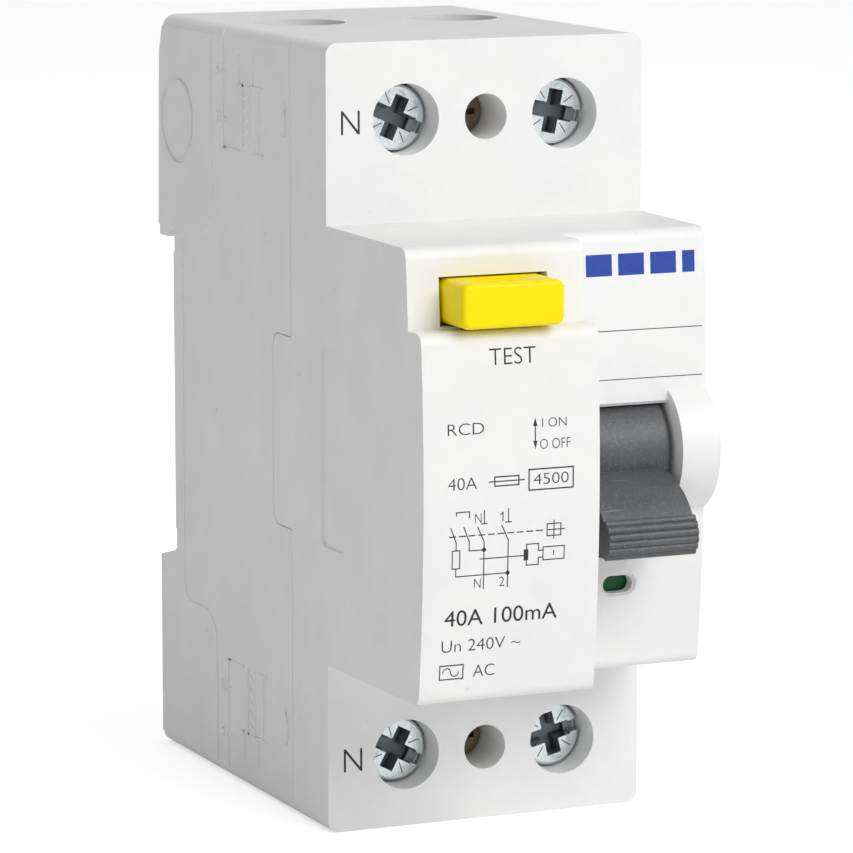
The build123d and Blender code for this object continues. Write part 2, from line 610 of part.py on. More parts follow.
# =================================================================== terminals
SCREW_TIP_Y = BAR_FRONT_Y - PART_GAP
FIXED_END_Z = CONTACT_Z - TIP_R - 1.0
LOAD_END_Z = LOWER_CROSS_Z + 3.6
for name, (x, z, end) in TERMINALS.items():
    with BuildPart() as terminal_screw:
        with BuildSketch(front_plane(SHANK_TOP_Y)):
            with Locations((x, z)):
                Circle(SCREW_HEAD_R)
        extrude(amount=SCREW_HEAD_LENGTH)
        chamfer(terminal_screw.faces().sort_by(Axis.Y)[0].edges(), 0.25)
        with BuildSketch(front_plane(SCREW_TIP_Y)):
            with Locations((x, z)):
                Circle(SCREW_SHANK_R)
        extrude(amount=SCREW_TIP_Y - SHANK_TOP_Y)
        chamfer(terminal_screw.faces().sort_by(Axis.Y)[-1].edges(), 0.5)
        angle = SCREW_SLOT_ANGLES[name]
        with BuildSketch(front_plane(SCREW_HEAD_Y)):
            with Locations(Location((x, z), angle)):
                Rectangle(2 * SCREW_HEAD_R, 1.25)
        extrude(amount=-1.3, mode=Mode.SUBTRACT)
        with BuildSketch(front_plane(SCREW_HEAD_Y)):
            with Locations(Location((x, z), angle)):
                Rectangle(4.6, 1.6)
                Rectangle(1.6, 4.6)
        extrude(amount=-2.0, taper=6, mode=Mode.SUBTRACT)
    keep(terminal_screw.part, f"terminal_screw_{name}")

    with BuildPart() as terminal_cage:
        with BuildSketch(level_plane(z - CAGE_HALF_HEIGHT)):
            with Locations((x, (CAGE_FRONT_Y + CAGE_BACK_Y) / 2)):
                RectangleRounded(2 * CAGE_HALF_WIDTH, CAGE_LENGTH, 0.8)
                Rectangle(2 * (CAGE_HALF_WIDTH - CAGE_SIDE), CAGE_LENGTH - 2 * CAGE_END, mode=Mode.SUBTRACT)
        extrude(amount=2 * CAGE_HALF_HEIGHT)
        with BuildSketch(front_plane(CAGE_FRONT_Y + 2 * CAGE_END)):
            with Locations((x, z)):
                Circle(SCREW_SHANK_R + RUNNING_FIT)
        extrude(amount=3 * CAGE_END, mode=Mode.SUBTRACT)
    keep(terminal_cage.part, f"terminal_cage_{name}")

    with BuildPart() as terminal_bar:
        far_z = z + end * (CAGE_HALF_HEIGHT - 0.6)
        near_z = FIXED_END_Z if end > 0 else LOAD_END_Z
        with BuildSketch(front_plane(BAR_BACK_Y)):
            with Locations((x, (far_z + near_z) / 2)):
                RectangleRounded(BAR_WIDTH, abs(far_z - near_z), 0.8)
        extrude(amount=BAR_THICKNESS)
    bar_name = "fixed_contact" if end > 0 else "load_bar"
    keep(terminal_bar.part, f"{bar_name}_{name[-1]}")

with BuildPart() as fixed_contact_tips:
    with BuildSketch(front_plane(BAR_BACK_Y + TIP_THICKNESS)):
        with Locations((-CONTACT_X, CONTACT_Z), (CONTACT_X, CONTACT_Z)):
            Circle(TIP_R)
    extrude(amount=TIP_THICKNESS)
keep(fixed_contact_tips.part, "fixed_contact_tips")

# ========================================================= arc chutes, one a pole
CHUTE_HALF = 4.2
CHUTE_WALL = 0.8
CHUTE_TOP_Z = UPPER_CROSS_Z - CROSS_WALL / 2
SPLITTER_COUNT = 5
SPLITTER_PITCH = 1.3
SPLITTER_THICKNESS = 0.8
SPLITTER_TOP_GAP = 0.8
with BuildPart() as arc_chute_walls:
    for pole in (-CONTACT_X, CONTACT_X):
        for side in (-1, 1):
            inner, outer = sorted((pole + side * CHUTE_HALF, pole + side * (CHUTE_HALF + CHUTE_WALL)))
            add(bar_between((inner, BAR_BACK_Y + 1, CONTACT_Z + 3.2), (outer, -5, CHUTE_TOP_Z)))
keep(arc_chute_walls.part, "arc_chute_walls")

with BuildPart() as arc_splitter_plates:
    for pole in (-CONTACT_X, CONTACT_X):
        for step in range(SPLITTER_COUNT):
            top = CHUTE_TOP_Z - SPLITTER_TOP_GAP - step * SPLITTER_PITCH
            with BuildSketch(level_plane(top - SPLITTER_THICKNESS)):
                with Locations((pole, (BAR_BACK_Y - 4) / 2)):
                    Rectangle(2 * CHUTE_HALF, 11)
                with Locations((pole, BAR_BACK_Y + 1)):
                    Rectangle(2.4, 6, mode=Mode.SUBTRACT)
            extrude(amount=SPLITTER_THICKNESS)
keep(arc_splitter_plates.part, "arc_splitter_plates")

# ============================================================== contact carrier
# Everything here is laid out closed, about the carrier shaft, and drawn open.
def carrier_plane(x):
    """Side plane about the carrier shaft, swung back to the open position."""
    swing = radians(-CARRIER_ANGLE)
    return Plane(origin=(x, CARRIER_Y, CARRIER_Z), x_dir=(0, cos(swing), sin(swing)), z_dir=(1, 0, 0))


TIP_CLOSED_Y = BAR_BACK_Y + TIP_THICKNESS + PART_GAP - CARRIER_Y
ARM_FRONT_Y = TIP_CLOSED_Y + TIP_THICKNESS
ARM_BACK_Y = ARM_FRONT_Y + ARM_THICKNESS
ARM_TOP_Z = CONTACT_Z - CARRIER_Z + TIP_R
SPRING_Z = 7.5
CUP_Y = ARM_BACK_Y + 3.9
CARRIER_HALF = INNER_X - PLATE_THICKNESS - PART_GAP
PIN_TRAVEL = 2 * CRANK_R * sin(radians(HANDLE_TRAVEL / 2))
LUG_R = PIN_TRAVEL / 2 / sin(radians(CARRIER_ANGLE / 2))
LUG_Y = -LUG_R * sin(radians(CARRIER_ANGLE / 2))
LUG_Z = LUG_R * cos(radians(CARRIER_ANGLE / 2))
LINK_X = (SPLIT_X + CHEEK_X) / 2
LUG_X = LINK_X - LINK_THICKNESS / 2 - PART_GAP
PEG_Y = 1.5
PEG_Z = 7.0

with BuildPart() as contact_carrier:
    with BuildSketch(carrier_plane(-CARRIER_HALF)):
        Circle(CARRIER_R)
    extrude(amount=2 * CARRIER_HALF)
    for pole in (-CONTACT_X, CONTACT_X):
        with BuildSketch(carrier_plane(pole - ARM_WIDTH / 2 - 0.5)):
            with Locations((CUP_Y + 0.6, 5)):
                RectangleRounded(1.2, 10, 0.4)
            with Locations(((CUP_Y + ARM_BACK_Y) / 2 + 0.3, 2.0)):
                Rectangle(CUP_Y - ARM_BACK_Y, 4.0)
        extrude(amount=ARM_WIDTH + 1)
        with BuildSketch(carrier_plane(pole - ARM_WIDTH / 2)):
            with Locations(((ARM_FRONT_Y + ARM_BACK_Y) / 2, ARM_TOP_Z / 2 - 2)):
                Rectangle(ARM_THICKNESS, ARM_TOP_Z)
        extrude(amount=ARM_WIDTH, mode=Mode.SUBTRACT)
    with BuildSketch(carrier_plane(LUG_X - 2.4)):
        Circle(CARRIER_R)
        with Locations((LUG_Y, LUG_Z)):
            Circle(2.0)
        make_hull()
    extrude(amount=2.4)
    with BuildSketch(carrier_plane(LUG_X - 4.0)):
        with Locations((PEG_Y, PEG_Z)):
            Circle(0.7)
    extrude(amount=1.7)
    with BuildSketch(carrier_plane(LUG_X - 2.4)):
        with Locations((LUG_Y, LUG_Z)):
            Circle(PIN_R)
    extrude(amount=2.4, mode=Mode.SUBTRACT)
    with BuildSketch(carrier_plane(-CARRIER_HALF)):
        Circle(CARRIER_SHAFT_R + RUNNING_FIT)
    extrude(amount=2 * CARRIER_HALF, mode=Mode.SUBTRACT)
keep(contact_carrier.part, "contact_carrier")

for name, pole in (("n", -CONTACT_X), ("l", CONTACT_X)):
    with BuildPart() as moving_contact:
        with BuildSketch(carrier_plane(pole - ARM_WIDTH / 2)):
            with Locations(((ARM_FRONT_Y + ARM_BACK_Y) / 2, ARM_TOP_Z / 2 + 0.8)):
                Rectangle(ARM_THICKNESS, ARM_TOP_Z - 1.6)
        extrude(amount=ARM_WIDTH)
        with BuildSketch(carrier_plane(pole - ARM_WIDTH)):
            Circle(CARRIER_SHAFT_R + 0.4)
        extrude(amount=2 * ARM_WIDTH, mode=Mode.SUBTRACT)
        chamfer(moving_contact.edges().filter_by(Axis.X).sort_by(Axis.Z)[-2:], 0.4)
    keep(moving_contact.part, f"moving_contact_{name}")

with BuildPart() as moving_contact_tips:
    for pole in (-CONTACT_X, CONTACT_X):
        tip_plane = carrier_plane(pole)
        with BuildSketch(Plane(origin=tip_plane.from_local_coords((ARM_FRONT_Y, CONTACT_Z - CARRIER_Z, 0)),
                               x_dir=(1, 0, 0), z_dir=-tip_plane.x_dir)):
            Circle(TIP_R)
        extrude(amount=TIP_THICKNESS)
keep(moving_contact_tips.part, "moving_contact_tips")

with BuildPart() as contact_springs:
    for pole in (-CONTACT_X, CONTACT_X):
        foot = carrier_plane(pole).from_local_coords((ARM_BACK_Y + 0.4, SPRING_Z, 0))
        add(coil(foot, carrier_plane(pole).x_dir, 1.4, 0.3, 0.85, CUP_Y - ARM_BACK_Y - 0.8))
keep(contact_springs.part, "contact_springs")

with BuildPart() as carrier_pin:
    with BuildSketch(carrier_plane(LUG_X - 2.4)):
        with Locations((LUG_Y, LUG_Z)):
            Circle(PIN_R)
    extrude(amount=2.4 + PART_GAP + LINK_THICKNESS + PART_GAP)
keep(carrier_pin.part, "carrier_pin")

carrier_shaft = shaft(-INNER_X, INNER_X, CARRIER_Y, CARRIER_Z, CARRIER_SHAFT_R)
keep(carrier_shaft, "carrier_shaft")

peg_point = carrier_plane(0).from_local_coords((PEG_Y, PEG_Z, 0))
opening_spring = coil((LUG_X - 3.2, peg_point.Y + 1.2, peg_point.Z), (0, 1, 0), 1.0, 0.25, 0.75,
                      BACK_WALL_Y - 0.3 - peg_point.Y - 1.2)
keep(opening_spring, "opening_spring")

# ====================================================================== handle
DRUM_X0 = SPLIT_X + DRUM_GAP
DRUM_X1 = CHEEK_X - DRUM_GAP
WEB = 1.3
SLOT_HALF = LINK_THICKNESS / 2 + PART_GAP
HUB_R = 2.6
SPRING_ROOM = 2.0


def crank_point(turn):
    """Where the crank pin stands after the handle has turned up by turn degrees."""
    angle = radians(HANDLE_TRAVEL / 2 - turn)
    return (HANDLE_AXIS_Y + CRANK_R * sin(angle), HANDLE_AXIS_Z - CRANK_R * cos(angle))


LEVER_TOP = (HANDLE_AXIS_Y - 11.5, HANDLE_AXIS_Z - 5.5)
LEVER_NOSE = (HANDLE_AXIS_Y - 12.55, HANDLE_AXIS_Z - 7.35)
LEVER_END = (HANDLE_AXIS_Y - 11.6, HANDLE_AXIS_Z - 9.1)
rib_arc = ThreePointArc(LEVER_TOP, LEVER_NOSE, LEVER_END)
rib_middles = [rib_arc @ ((step + 0.5) / RIB_COUNT) for step in range(RIB_COUNT)]
rib_points = [(middle.X, middle.Y) for middle in rib_middles]

with BuildPart() as handle:
    with BuildSketch(side_plane(DRUM_X0)):
        with Locations((HANDLE_AXIS_Y, HANDLE_AXIS_Z)):
            Circle(DRUM_R)
    extrude(amount=DRUM_X1 - DRUM_X0)
    fillet(handle.faces().filter_by(Axis.X).edges(), 0.5)
    # hollow between the end discs, open at the back
    with BuildSketch(side_plane(DRUM_X0 + WEB)):
        with Locations((HANDLE_AXIS_Y, HANDLE_AXIS_Z)):
            Circle(DRUM_R - DRUM_SHELL)
            Circle(HUB_R, mode=Mode.SUBTRACT)
        with Locations((HANDLE_AXIS_Y + 1.5 + DRUM_R / 2, HANDLE_AXIS_Z)):
            Rectangle(DRUM_R, 2 * DRUM_R)
        with Locations((HANDLE_AXIS_Y, HANDLE_AXIS_Z)):
            Circle(HUB_R, mode=Mode.SUBTRACT)
    extrude(amount=DRUM_X1 - DRUM_X0 - 2 * WEB, mode=Mode.SUBTRACT)
    # two webs beside the link hold the crank pin
    for x in (LINK_X - SLOT_HALF - WEB, LINK_X + SLOT_HALF):
        with BuildSketch(side_plane(x)):
            with Locations((HANDLE_AXIS_Y, HANDLE_AXIS_Z)):
                Circle(DRUM_R - 0.6)
        extrude(amount=WEB)
    with BuildSketch(side_plane(LINK_X - SLOT_HALF)):
        with Locations((HANDLE_AXIS_Y, HANDLE_AXIS_Z)):
            Circle(DRUM_R - DRUM_SHELL)
        with Locations((HANDLE_AXIS_Y - 0.2 + DRUM_R, HANDLE_AXIS_Z)):
            Rectangle(2 * DRUM_R, 2 * DRUM_R + 1)
    extrude(amount=2 * SLOT_HALF, mode=Mode.SUBTRACT)
    with BuildSketch(side_plane(LINK_X + SLOT_HALF + WEB)):
        with Locations((HANDLE_AXIS_Y, HANDLE_AXIS_Z)):
            Circle(HUB_R)
    extrude(amount=SPRING_ROOM + 0.2, mode=Mode.SUBTRACT)
    # the finger lever: a crowned top, a ribbed tip and a flat underside
    with BuildSketch(side_plane(DRUM_X0 + LEVER_INSET)) as lever_outline:
        with BuildLine():
            root_top = (HANDLE_AXIS_Y - DRUM_R + 1.0, HANDLE_AXIS_Z - 1.3)
            brow = (HANDLE_AXIS_Y - 8.5, HANDLE_AXIS_Z - 2.9)
            Line(root_top, brow)
            ThreePointArc(brow, (HANDLE_AXIS_Y - 10.2, HANDLE_AXIS_Z - 4.0), LEVER_TOP)
            ThreePointArc(LEVER_TOP, LEVER_NOSE, LEVER_END)
            Polyline(LEVER_END, (HANDLE_AXIS_Y - 10.4, HANDLE_AXIS_Z - 9.2),
                     (HANDLE_AXIS_Y - 4.6, HANDLE_AXIS_Z - 5.6),
                     (HANDLE_AXIS_Y - 2.6, HANDLE_AXIS_Z - 4.0), root_top)
        make_face()
        with Locations(*rib_points):
            Circle(RIB_R)
    extrude(amount=DRUM_X1 - DRUM_X0 - 2 * LEVER_INSET)
    # keep the lever out of the drum's hollow, then bore the shaft and pin holes
    with BuildSketch(side_plane(DRUM_X0 + WEB)):
        with Locations((HANDLE_AXIS_Y, HANDLE_AXIS_Z)):
            Circle(DRUM_R - DRUM_SHELL)
            Circle(HUB_R, mode=Mode.SUBTRACT)
        with Locations((HANDLE_AXIS_Y, HANDLE_AXIS_Z)):
            Circle(HUB_R, mode=Mode.SUBTRACT)
    extrude(amount=LINK_X - SLOT_HALF - WEB - DRUM_X0 - WEB, mode=Mode.SUBTRACT)
    with BuildSketch(side_plane(LINK_X + SLOT_HALF + WEB)):
        with Locations((HANDLE_AXIS_Y, HANDLE_AXIS_Z)):
            Circle(DRUM_R - DRUM_SHELL)
    extrude(amount=DRUM_X1 - WEB - LINK_X - SLOT_HALF - WEB, mode=Mode.SUBTRACT)
    with BuildSketch(side_plane(LINK_X - SLOT_HALF)):
        with Locations((HANDLE_AXIS_Y, HANDLE_AXIS_Z)):
            Circle(DRUM_R - DRUM_SHELL)
    extrude(amount=2 * SLOT_HALF, mode=Mode.SUBTRACT)
    with BuildSketch(side_plane(DRUM_X0)):
        with Locations((HANDLE_AXIS_Y, HANDLE_AXIS_Z)):
            Circle(HANDLE_SHAFT_R + RUNNING_FIT)
    extrude(amount=DRUM_X1 - DRUM_X0, mode=Mode.SUBTRACT)
    with BuildSketch(side_plane(LINK_X - SLOT_HALF - WEB)):
        with Locations(crank_point(0)):
            Circle(PIN_R)
    extrude(amount=2 * SLOT_HALF + 2 * WEB, mode=Mode.SUBTRACT)
keep(handle.part, "handle")

handle_shaft = shaft(SPLIT_X - WALL, CHEEK_X + CHEEK_WIDTH - WALL, HANDLE_AXIS_Y, HANDLE_AXIS_Z, HANDLE_SHAFT_R)
keep(handle_shaft, "handle_shaft")

crank_pin = shaft(LINK_X - SLOT_HALF - WEB, LINK_X + SLOT_HALF + WEB, *crank_point(0), PIN_R)
keep(crank_pin, "crank_pin")

spring_x = LINK_X + SLOT_HALF + WEB + 0.35
handle_spring = coil((spring_x, HANDLE_AXIS_Y, HANDLE_AXIS_Z), (1, 0, 0), 2.1, 0.25, 0.6,
                     DRUM_X1 - WEB - spring_x - 0.35)
keep(handle_spring, "handle_spring")

# the link keeps its direction, so its far eye is a slot that takes up the difference
LINK_EYE_R = 1.5
LINK_SLOT = 1.6
crank_y, crank_z = crank_point(0)
rest_lug = carrier_plane(0).from_local_coords((LUG_Y, LUG_Z, 0))
with BuildPart() as handle_link:
    with BuildSketch(side_plane(LINK_X - LINK_THICKNESS / 2)):
        with BuildLine():
            Polyline((crank_y, crank_z), (crank_y + 7.5, crank_z), (rest_lug.Y, rest_lug.Z))
        trace(line_width=LINK_WIDTH)
        with Locations((crank_y, crank_z)):
            Circle(LINK_EYE_R)
        with Locations((rest_lug.Y, rest_lug.Z)):
            SlotOverall(LINK_SLOT + 2 * LINK_EYE_R + 1.2, 2 * LINK_EYE_R + 1.0, rotation=90)
        with Locations((crank_y, crank_z)):
            Circle(PIN_R + RUNNING_FIT, mode=Mode.SUBTRACT)
        with Locations((rest_lug.Y, rest_lug.Z)):
            SlotOverall(LINK_SLOT + 2 * (PIN_R + PART_GAP), 2 * (PIN_R + PART_GAP), rotation=90,
                        mode=Mode.SUBTRACT)
    extrude(amount=LINK_THICKNESS)
keep(handle_link.part, "handle_link")

# ================================================ side plates, trip and latch levers
with BuildPart() as mechanism_plates:
    for x in (-INNER_X, INNER_X - PLATE_THICKNESS):
        with BuildSketch(side_plane(x)):
            with Locations((CARRIER_Y, CARRIER_Z), (TRIP_Y, TRIP_Z), (LATCH_Y, LATCH_Z)):
                Circle(3.2)
            make_hull()
            for y, z, radius in ((CARRIER_Y, CARRIER_Z, CARRIER_SHAFT_R), (TRIP_Y, TRIP_Z, LEVER_PIN_R),
                                 (LATCH_Y, LATCH_Z, LEVER_PIN_R)):
                with Locations((y, z)):
                    Circle(radius, mode=Mode.SUBTRACT)
            with Locations(((CARRIER_Y + TRIP_Y + LATCH_Y) / 3, 0)):
                Circle(3.5, mode=Mode.SUBTRACT)
        extrude(amount=PLATE_THICKNESS)
keep(mechanism_plates.part, "mechanism_plates")

trip_lever_pin = shaft(-INNER_X, INNER_X, TRIP_Y, TRIP_Z, LEVER_PIN_R)
keep(trip_lever_pin, "trip_lever_pin")
latch_pin = shaft(-INNER_X, INNER_X, LATCH_Y, LATCH_Z, LEVER_PIN_R)
keep(latch_pin, "latch_pin")

RELAY_X = LEFT_NOSE_X - 0.6
PLUNGER_Z = 0.0
TRIP_ARM_X = LUG_X - 2.7
with BuildPart() as trip_lever:
    with BuildSketch(side_plane(RELAY_X - 3.5)):
        with Locations((TRIP_Y, TRIP_Z)):
            Circle(2.0)
    extrude(amount=TRIP_ARM_X + 1.6 - RELAY_X + 3.5)
    with BuildSketch(side_plane(RELAY_X - 1.5)):
        with BuildLine():
            Polyline((TRIP_Y - 1, TRIP_Z), (TRIP_Y + 1.4, TRIP_Z), (TRIP_Y + 1, PLUNGER_Z + 2.4),
                     (TRIP_Y - 1, PLUNGER_Z + 2.4), close=True)
        make_face()
    extrude(amount=3.0)
    with BuildSketch(side_plane(TRIP_ARM_X)):
        with BuildLine():
            Polyline((TRIP_Y - 1.2, TRIP_Z), (TRIP_Y + 1.8, TRIP_Z), (TRIP_Y + 3.4, 4.0),
                     (TRIP_Y + 1.4, 4.0), close=True)
        make_face()
    extrude(amount=1.2)
    with BuildSketch(side_plane(RELAY_X - 4)):
        with Locations((TRIP_Y, TRIP_Z)):
            Circle(LEVER_PIN_R + RUNNING_FIT)
    extrude(amount=TRIP_ARM_X + 3 - RELAY_X + 4, mode=Mode.SUBTRACT)
keep(trip_lever.part, "trip_lever")

LATCH_GAP = 0.6
LATCH_TIP_Y = BAR_FRONT_Y + 2.4
with BuildPart() as latch_lever:
    with BuildSketch(side_plane(TRIP_ARM_X)):
        with Locations((LATCH_Y, LATCH_Z)):
            Circle(2.8)
        with BuildLine():
            Polyline((LATCH_Y - 1.4, LATCH_Z), (TRIP_Y + 3.4 + LATCH_GAP, 2.6), (TRIP_Y + 5.6 + LATCH_GAP, 2.6),
                     (LATCH_Y + 1.8, LATCH_Z), close=True)
        make_face()
        with BuildLine():
            Polyline((LATCH_Y, LATCH_Z - 1.5), (LATCH_TIP_Y - 2.6, LATCH_Z - 1.2),
                     (LATCH_TIP_Y - 2.0, LATCH_Z - 3.0), (LATCH_TIP_Y, LATCH_Z - 3.0),
                     (LATCH_TIP_Y, LATCH_Z + 1.2), (LATCH_Y, LATCH_Z + 1.5), close=True)
        make_face()
        with Locations((LATCH_Y, LATCH_Z)):
            Circle(LEVER_PIN_R + RUNNING_FIT, mode=Mode.SUBTRACT)
    extrude(amount=1.2)
keep(latch_lever.part, "latch_lever")

# ======================================================== current transformer
CASE_LOW_Z = TOROID_Z - TOROID_HEIGHT / 2
with BuildPart() as toroid_case:
    with BuildSketch(level_plane(CASE_LOW_Z)):
        with Locations((0, TOROID_Y)):
            Circle(TOROID_CASE_R)
            Circle(TOROID_BORE_R, mode=Mode.SUBTRACT)
    extrude(amount=TOROID_HEIGHT)
    with BuildSketch(level_plane(CASE_LOW_Z + CASE_SKIN)):
        with Locations((0, TOROID_Y)):
            Circle(TOROID_CASE_R - CASE_SKIN)
            Circle(TOROID_BORE_R + CASE_SKIN, mode=Mode.SUBTRACT)
    extrude(amount=TOROID_HEIGHT - 2 * CASE_SKIN, mode=Mode.SUBTRACT)
keep(toroid_case.part, "toroid_case")

with BuildPart() as toroid_core:
    with BuildSketch(level_plane(CASE_LOW_Z + CASE_SKIN)):
        with Locations((0, TOROID_Y)):
            Circle(TOROID_CASE_R - CASE_SKIN - SEAM_GAP)
            Circle(TOROID_BORE_R + CASE_SKIN + SEAM_GAP, mode=Mode.SUBTRACT)
    extrude(amount=TOROID_HEIGHT - 2 * CASE_SKIN - SEAM_GAP)
keep(toroid_core.part, "toroid_core")

with BuildPart() as secondary_winding:
    ring_middle = (TOROID_CASE_R + TOROID_BORE_R) / 2
    ring_width = TOROID_CASE_R - TOROID_BORE_R
    for turn in range(TURN_COUNT):
        spoke = Plane(origin=(0, TOROID_Y, TOROID_Z)).rotated((0, 0, 360 * turn / TURN_COUNT))
        with BuildSketch(Plane(origin=spoke.origin, x_dir=spoke.x_dir, z_dir=spoke.y_dir)
                         .offset(-TURN_THICKNESS / 2)):
            with Locations((ring_middle, 0)):
                RectangleRounded(ring_width + 2 * TURN_THICKNESS, TOROID_HEIGHT + 2 * TURN_THICKNESS, 0.4)
                Rectangle(ring_width + SEAM_GAP, TOROID_HEIGHT + SEAM_GAP, mode=Mode.SUBTRACT)
        extrude(amount=TURN_THICKNESS)
keep(secondary_winding.part, "secondary_winding")

# ================================================= conductors, braids and leads
CONDUCTOR_TOP_Z = CARRIER_Z - 1.2
CONDUCTOR_LOW_Z = LOWER_CROSS_Z + CROSS_WALL / 2 + CONDUCTOR_R + 0.2
for name, side in (("n", -1), ("l", 1)):
    conductor = wire(
        [
            (side * (CONTACT_X + 1.2), TOROID_Y, CONDUCTOR_TOP_Z),
            (side * CONDUCTOR_X, TOROID_Y, CONDUCTOR_TOP_Z),
            (side * CONDUCTOR_X, TOROID_Y, CONDUCTOR_LOW_Z),
            (side * (POLE_X - BAR_WIDTH / 2), TOROID_Y, CONDUCTOR_LOW_Z),
        ],
        CONDUCTOR_R, 2.2)
    keep(conductor, f"primary_conductor_{name}")
    braid_y = ARM_FRONT_Y + CARRIER_Y - PART_GAP
    braid = wire(
        [
            (side * CONTACT_X, braid_y, CARRIER_Z + 5.6),
            (side * CONTACT_X, TOROID_Y, CARRIER_Z + 5.6),
            (side * CONTACT_X, TOROID_Y, CONDUCTOR_TOP_Z + CONDUCTOR_R),
        ],
        1.2, 2.4)
    keep(braid, f"flexible_braid_{name}")

BOARD_TOP_Z = -14.5
BOARD_THICKNESS = 1.2
BOARD_REAR_Y = RELAY_REAR_Y - 1.0
LEAD_R = 0.5
with BuildPart() as sensor_leads:
    start_y = TOROID_Y - TOROID_CASE_R - TURN_THICKNESS - LEAD_R
    for x in (-1.6, -3.2):
        add(wire(
            [
                (x, start_y, TOROID_Z),
                (x, start_y - 5, TOROID_Z + 0.8),
                (x, BOARD_REAR_Y + 4, BOARD_TOP_Z + 2.4),
                (x, BOARD_REAR_Y - 1.5, BOARD_TOP_Z + LEAD_R),
            ],
            LEAD_R, 2.0))
keep(sensor_leads.part, "sensor_leads")

# ================================================================ trip relay
RELAY_Z0 = -9.9
RELAY_FRONT_Y = RELAY_REAR_Y - RELAY_LENGTH
with BuildPart() as relay_case:
    low = (RELAY_X - RELAY_WIDTH / 2, RELAY_FRONT_Y, RELAY_Z0)
    high = (RELAY_X + RELAY_WIDTH / 2, RELAY_REAR_Y, RELAY_Z0 + RELAY_HEIGHT)
    add(bar_between(low, high))
    fillet(relay_case.edges().filter_by(Axis.Y), 0.6)
    inner_low = [value + RELAY_SKIN for value in low]
    inner_high = [value - RELAY_SKIN for value in high]
    add(bar_between(inner_low, inner_high), mode=Mode.SUBTRACT)
    with BuildSketch(front_plane(RELAY_REAR_Y + 1)):
        with Locations((RELAY_X, PLUNGER_Z)):
            Circle(1.2)
    extrude(amount=2, mode=Mode.SUBTRACT)
    for x in (RELAY_X - 4.4, RELAY_X + 4.4):
        for y in (RELAY_FRONT_Y + 2.6, RELAY_REAR_Y - 2.4):
            add(bar_between((x - 0.4, y - 0.4, BOARD_TOP_Z), (x + 0.4, y + 0.4, RELAY_Z0 + 0.1)))
keep(relay_case.part, "relay_case")

YOKE_FRONT_Y = RELAY_FRONT_Y + RELAY_SKIN + 0.4
YOKE_END_Y = RELAY_REAR_Y - RELAY_SKIN - 3.4
YOKE_LOW_Z = RELAY_Z0 + RELAY_SKIN
YOKE_TOP_Z = PLUNGER_Z + 2.2
YOKE_THICKNESS = 1.4
with BuildPart() as relay_yoke:
    with BuildSketch(side_plane(RELAY_X - 2.2)):
        with BuildLine():
            Polyline(
                (YOKE_END_Y, YOKE_LOW_Z),
                (YOKE_FRONT_Y, YOKE_LOW_Z),
                (YOKE_FRONT_Y, YOKE_TOP_Z),
                (YOKE_END_Y, YOKE_TOP_Z),
                (YOKE_END_Y, YOKE_TOP_Z - YOKE_THICKNESS),
                (YOKE_FRONT_Y + YOKE_THICKNESS, YOKE_TOP_Z - YOKE_THICKNESS),
                (YOKE_FRONT_Y + YOKE_THICKNESS, YOKE_LOW_Z + YOKE_THICKNESS),
                (YOKE_END_Y, YOKE_LOW_Z + YOKE_THICKNESS),
                close=True,
            )
        make_face()
    extrude(amount=4.4)
keep(relay_yoke.part, "relay_yoke")

COIL_R = 2.2
COIL_Z = YOKE_TOP_Z - YOKE_THICKNESS / 2
with BuildPart() as relay_coil:
    for y0, y1, radius in ((YOKE_FRONT_Y + 2.2, YOKE_FRONT_Y + 3.0, COIL_R + 0.3),
                           (YOKE_FRONT_Y + 3.0, YOKE_END_Y - 1.4, COIL_R),
                           (YOKE_END_Y - 1.4, YOKE_END_Y - 0.6, COIL_R + 0.3)):
        with BuildSketch(front_plane(y1)):
            with Locations((RELAY_X, COIL_Z)):
                Circle(radius)
                Rectangle(4.4, YOKE_THICKNESS, mode=Mode.SUBTRACT)
        extrude(amount=y1 - y0)
keep(relay_coil.part, "relay_coil")

with BuildPart() as relay_magnet:
    add(bar_between((RELAY_X - 2.0, YOKE_FRONT_Y + YOKE_THICKNESS, YOKE_LOW_Z + YOKE_THICKNESS),
                    (RELAY_X + 2.0, YOKE_END_Y - 3.0, YOKE_LOW_Z + YOKE_THICKNESS + 2.4)))
keep(relay_magnet.part, "relay_magnet")

ARMATURE_THICKNESS = 1.0
ARMATURE_Y = YOKE_END_Y + PART_GAP
ARMATURE_PIVOT_Z = YOKE_LOW_Z + 0.7
with BuildPart() as relay_armature:
    with BuildSketch(side_plane(RELAY_X - 2.2)):
        with BuildLine():
            Polyline(
                (ARMATURE_Y, ARMATURE_PIVOT_Z),
                (ARMATURE_Y, YOKE_TOP_Z),
                (ARMATURE_Y + ARMATURE_THICKNESS, YOKE_TOP_Z),
                (ARMATURE_Y + ARMATURE_THICKNESS, ARMATURE_PIVOT_Z),
                close=True,
            )
        make_face()
    extrude(amount=4.4)
keep(relay_armature.part, "relay_armature")

PLUNGER_REACH_Y = TRIP_Y - 1 - PART_GAP
PLUNGER_TAIL_Y = ARMATURE_Y + ARMATURE_THICKNESS + PART_GAP
with BuildPart() as relay_plunger:
    with BuildSketch(front_plane(PLUNGER_REACH_Y)):
        with Locations((RELAY_X, PLUNGER_Z)):
            Circle(0.85)
    extrude(amount=PLUNGER_REACH_Y - PLUNGER_TAIL_Y)
keep(relay_plunger.part, "relay_plunger")

# ============================================================== circuit board
BOARD_X0 = -INNER_X + 0.3
BOARD_X1 = SPLIT_X - WALL - 0.3
BOARD_FRONT_Y = LOWER_FACE_Y + WALL + 2.0
with BuildPart() as circuit_board:
    add(bar_between((BOARD_X0, BOARD_FRONT_Y, BOARD_TOP_Z - BOARD_THICKNESS),
                    (BOARD_X1, BOARD_REAR_Y, BOARD_TOP_Z)))
keep(circuit_board.part, "circuit_board")

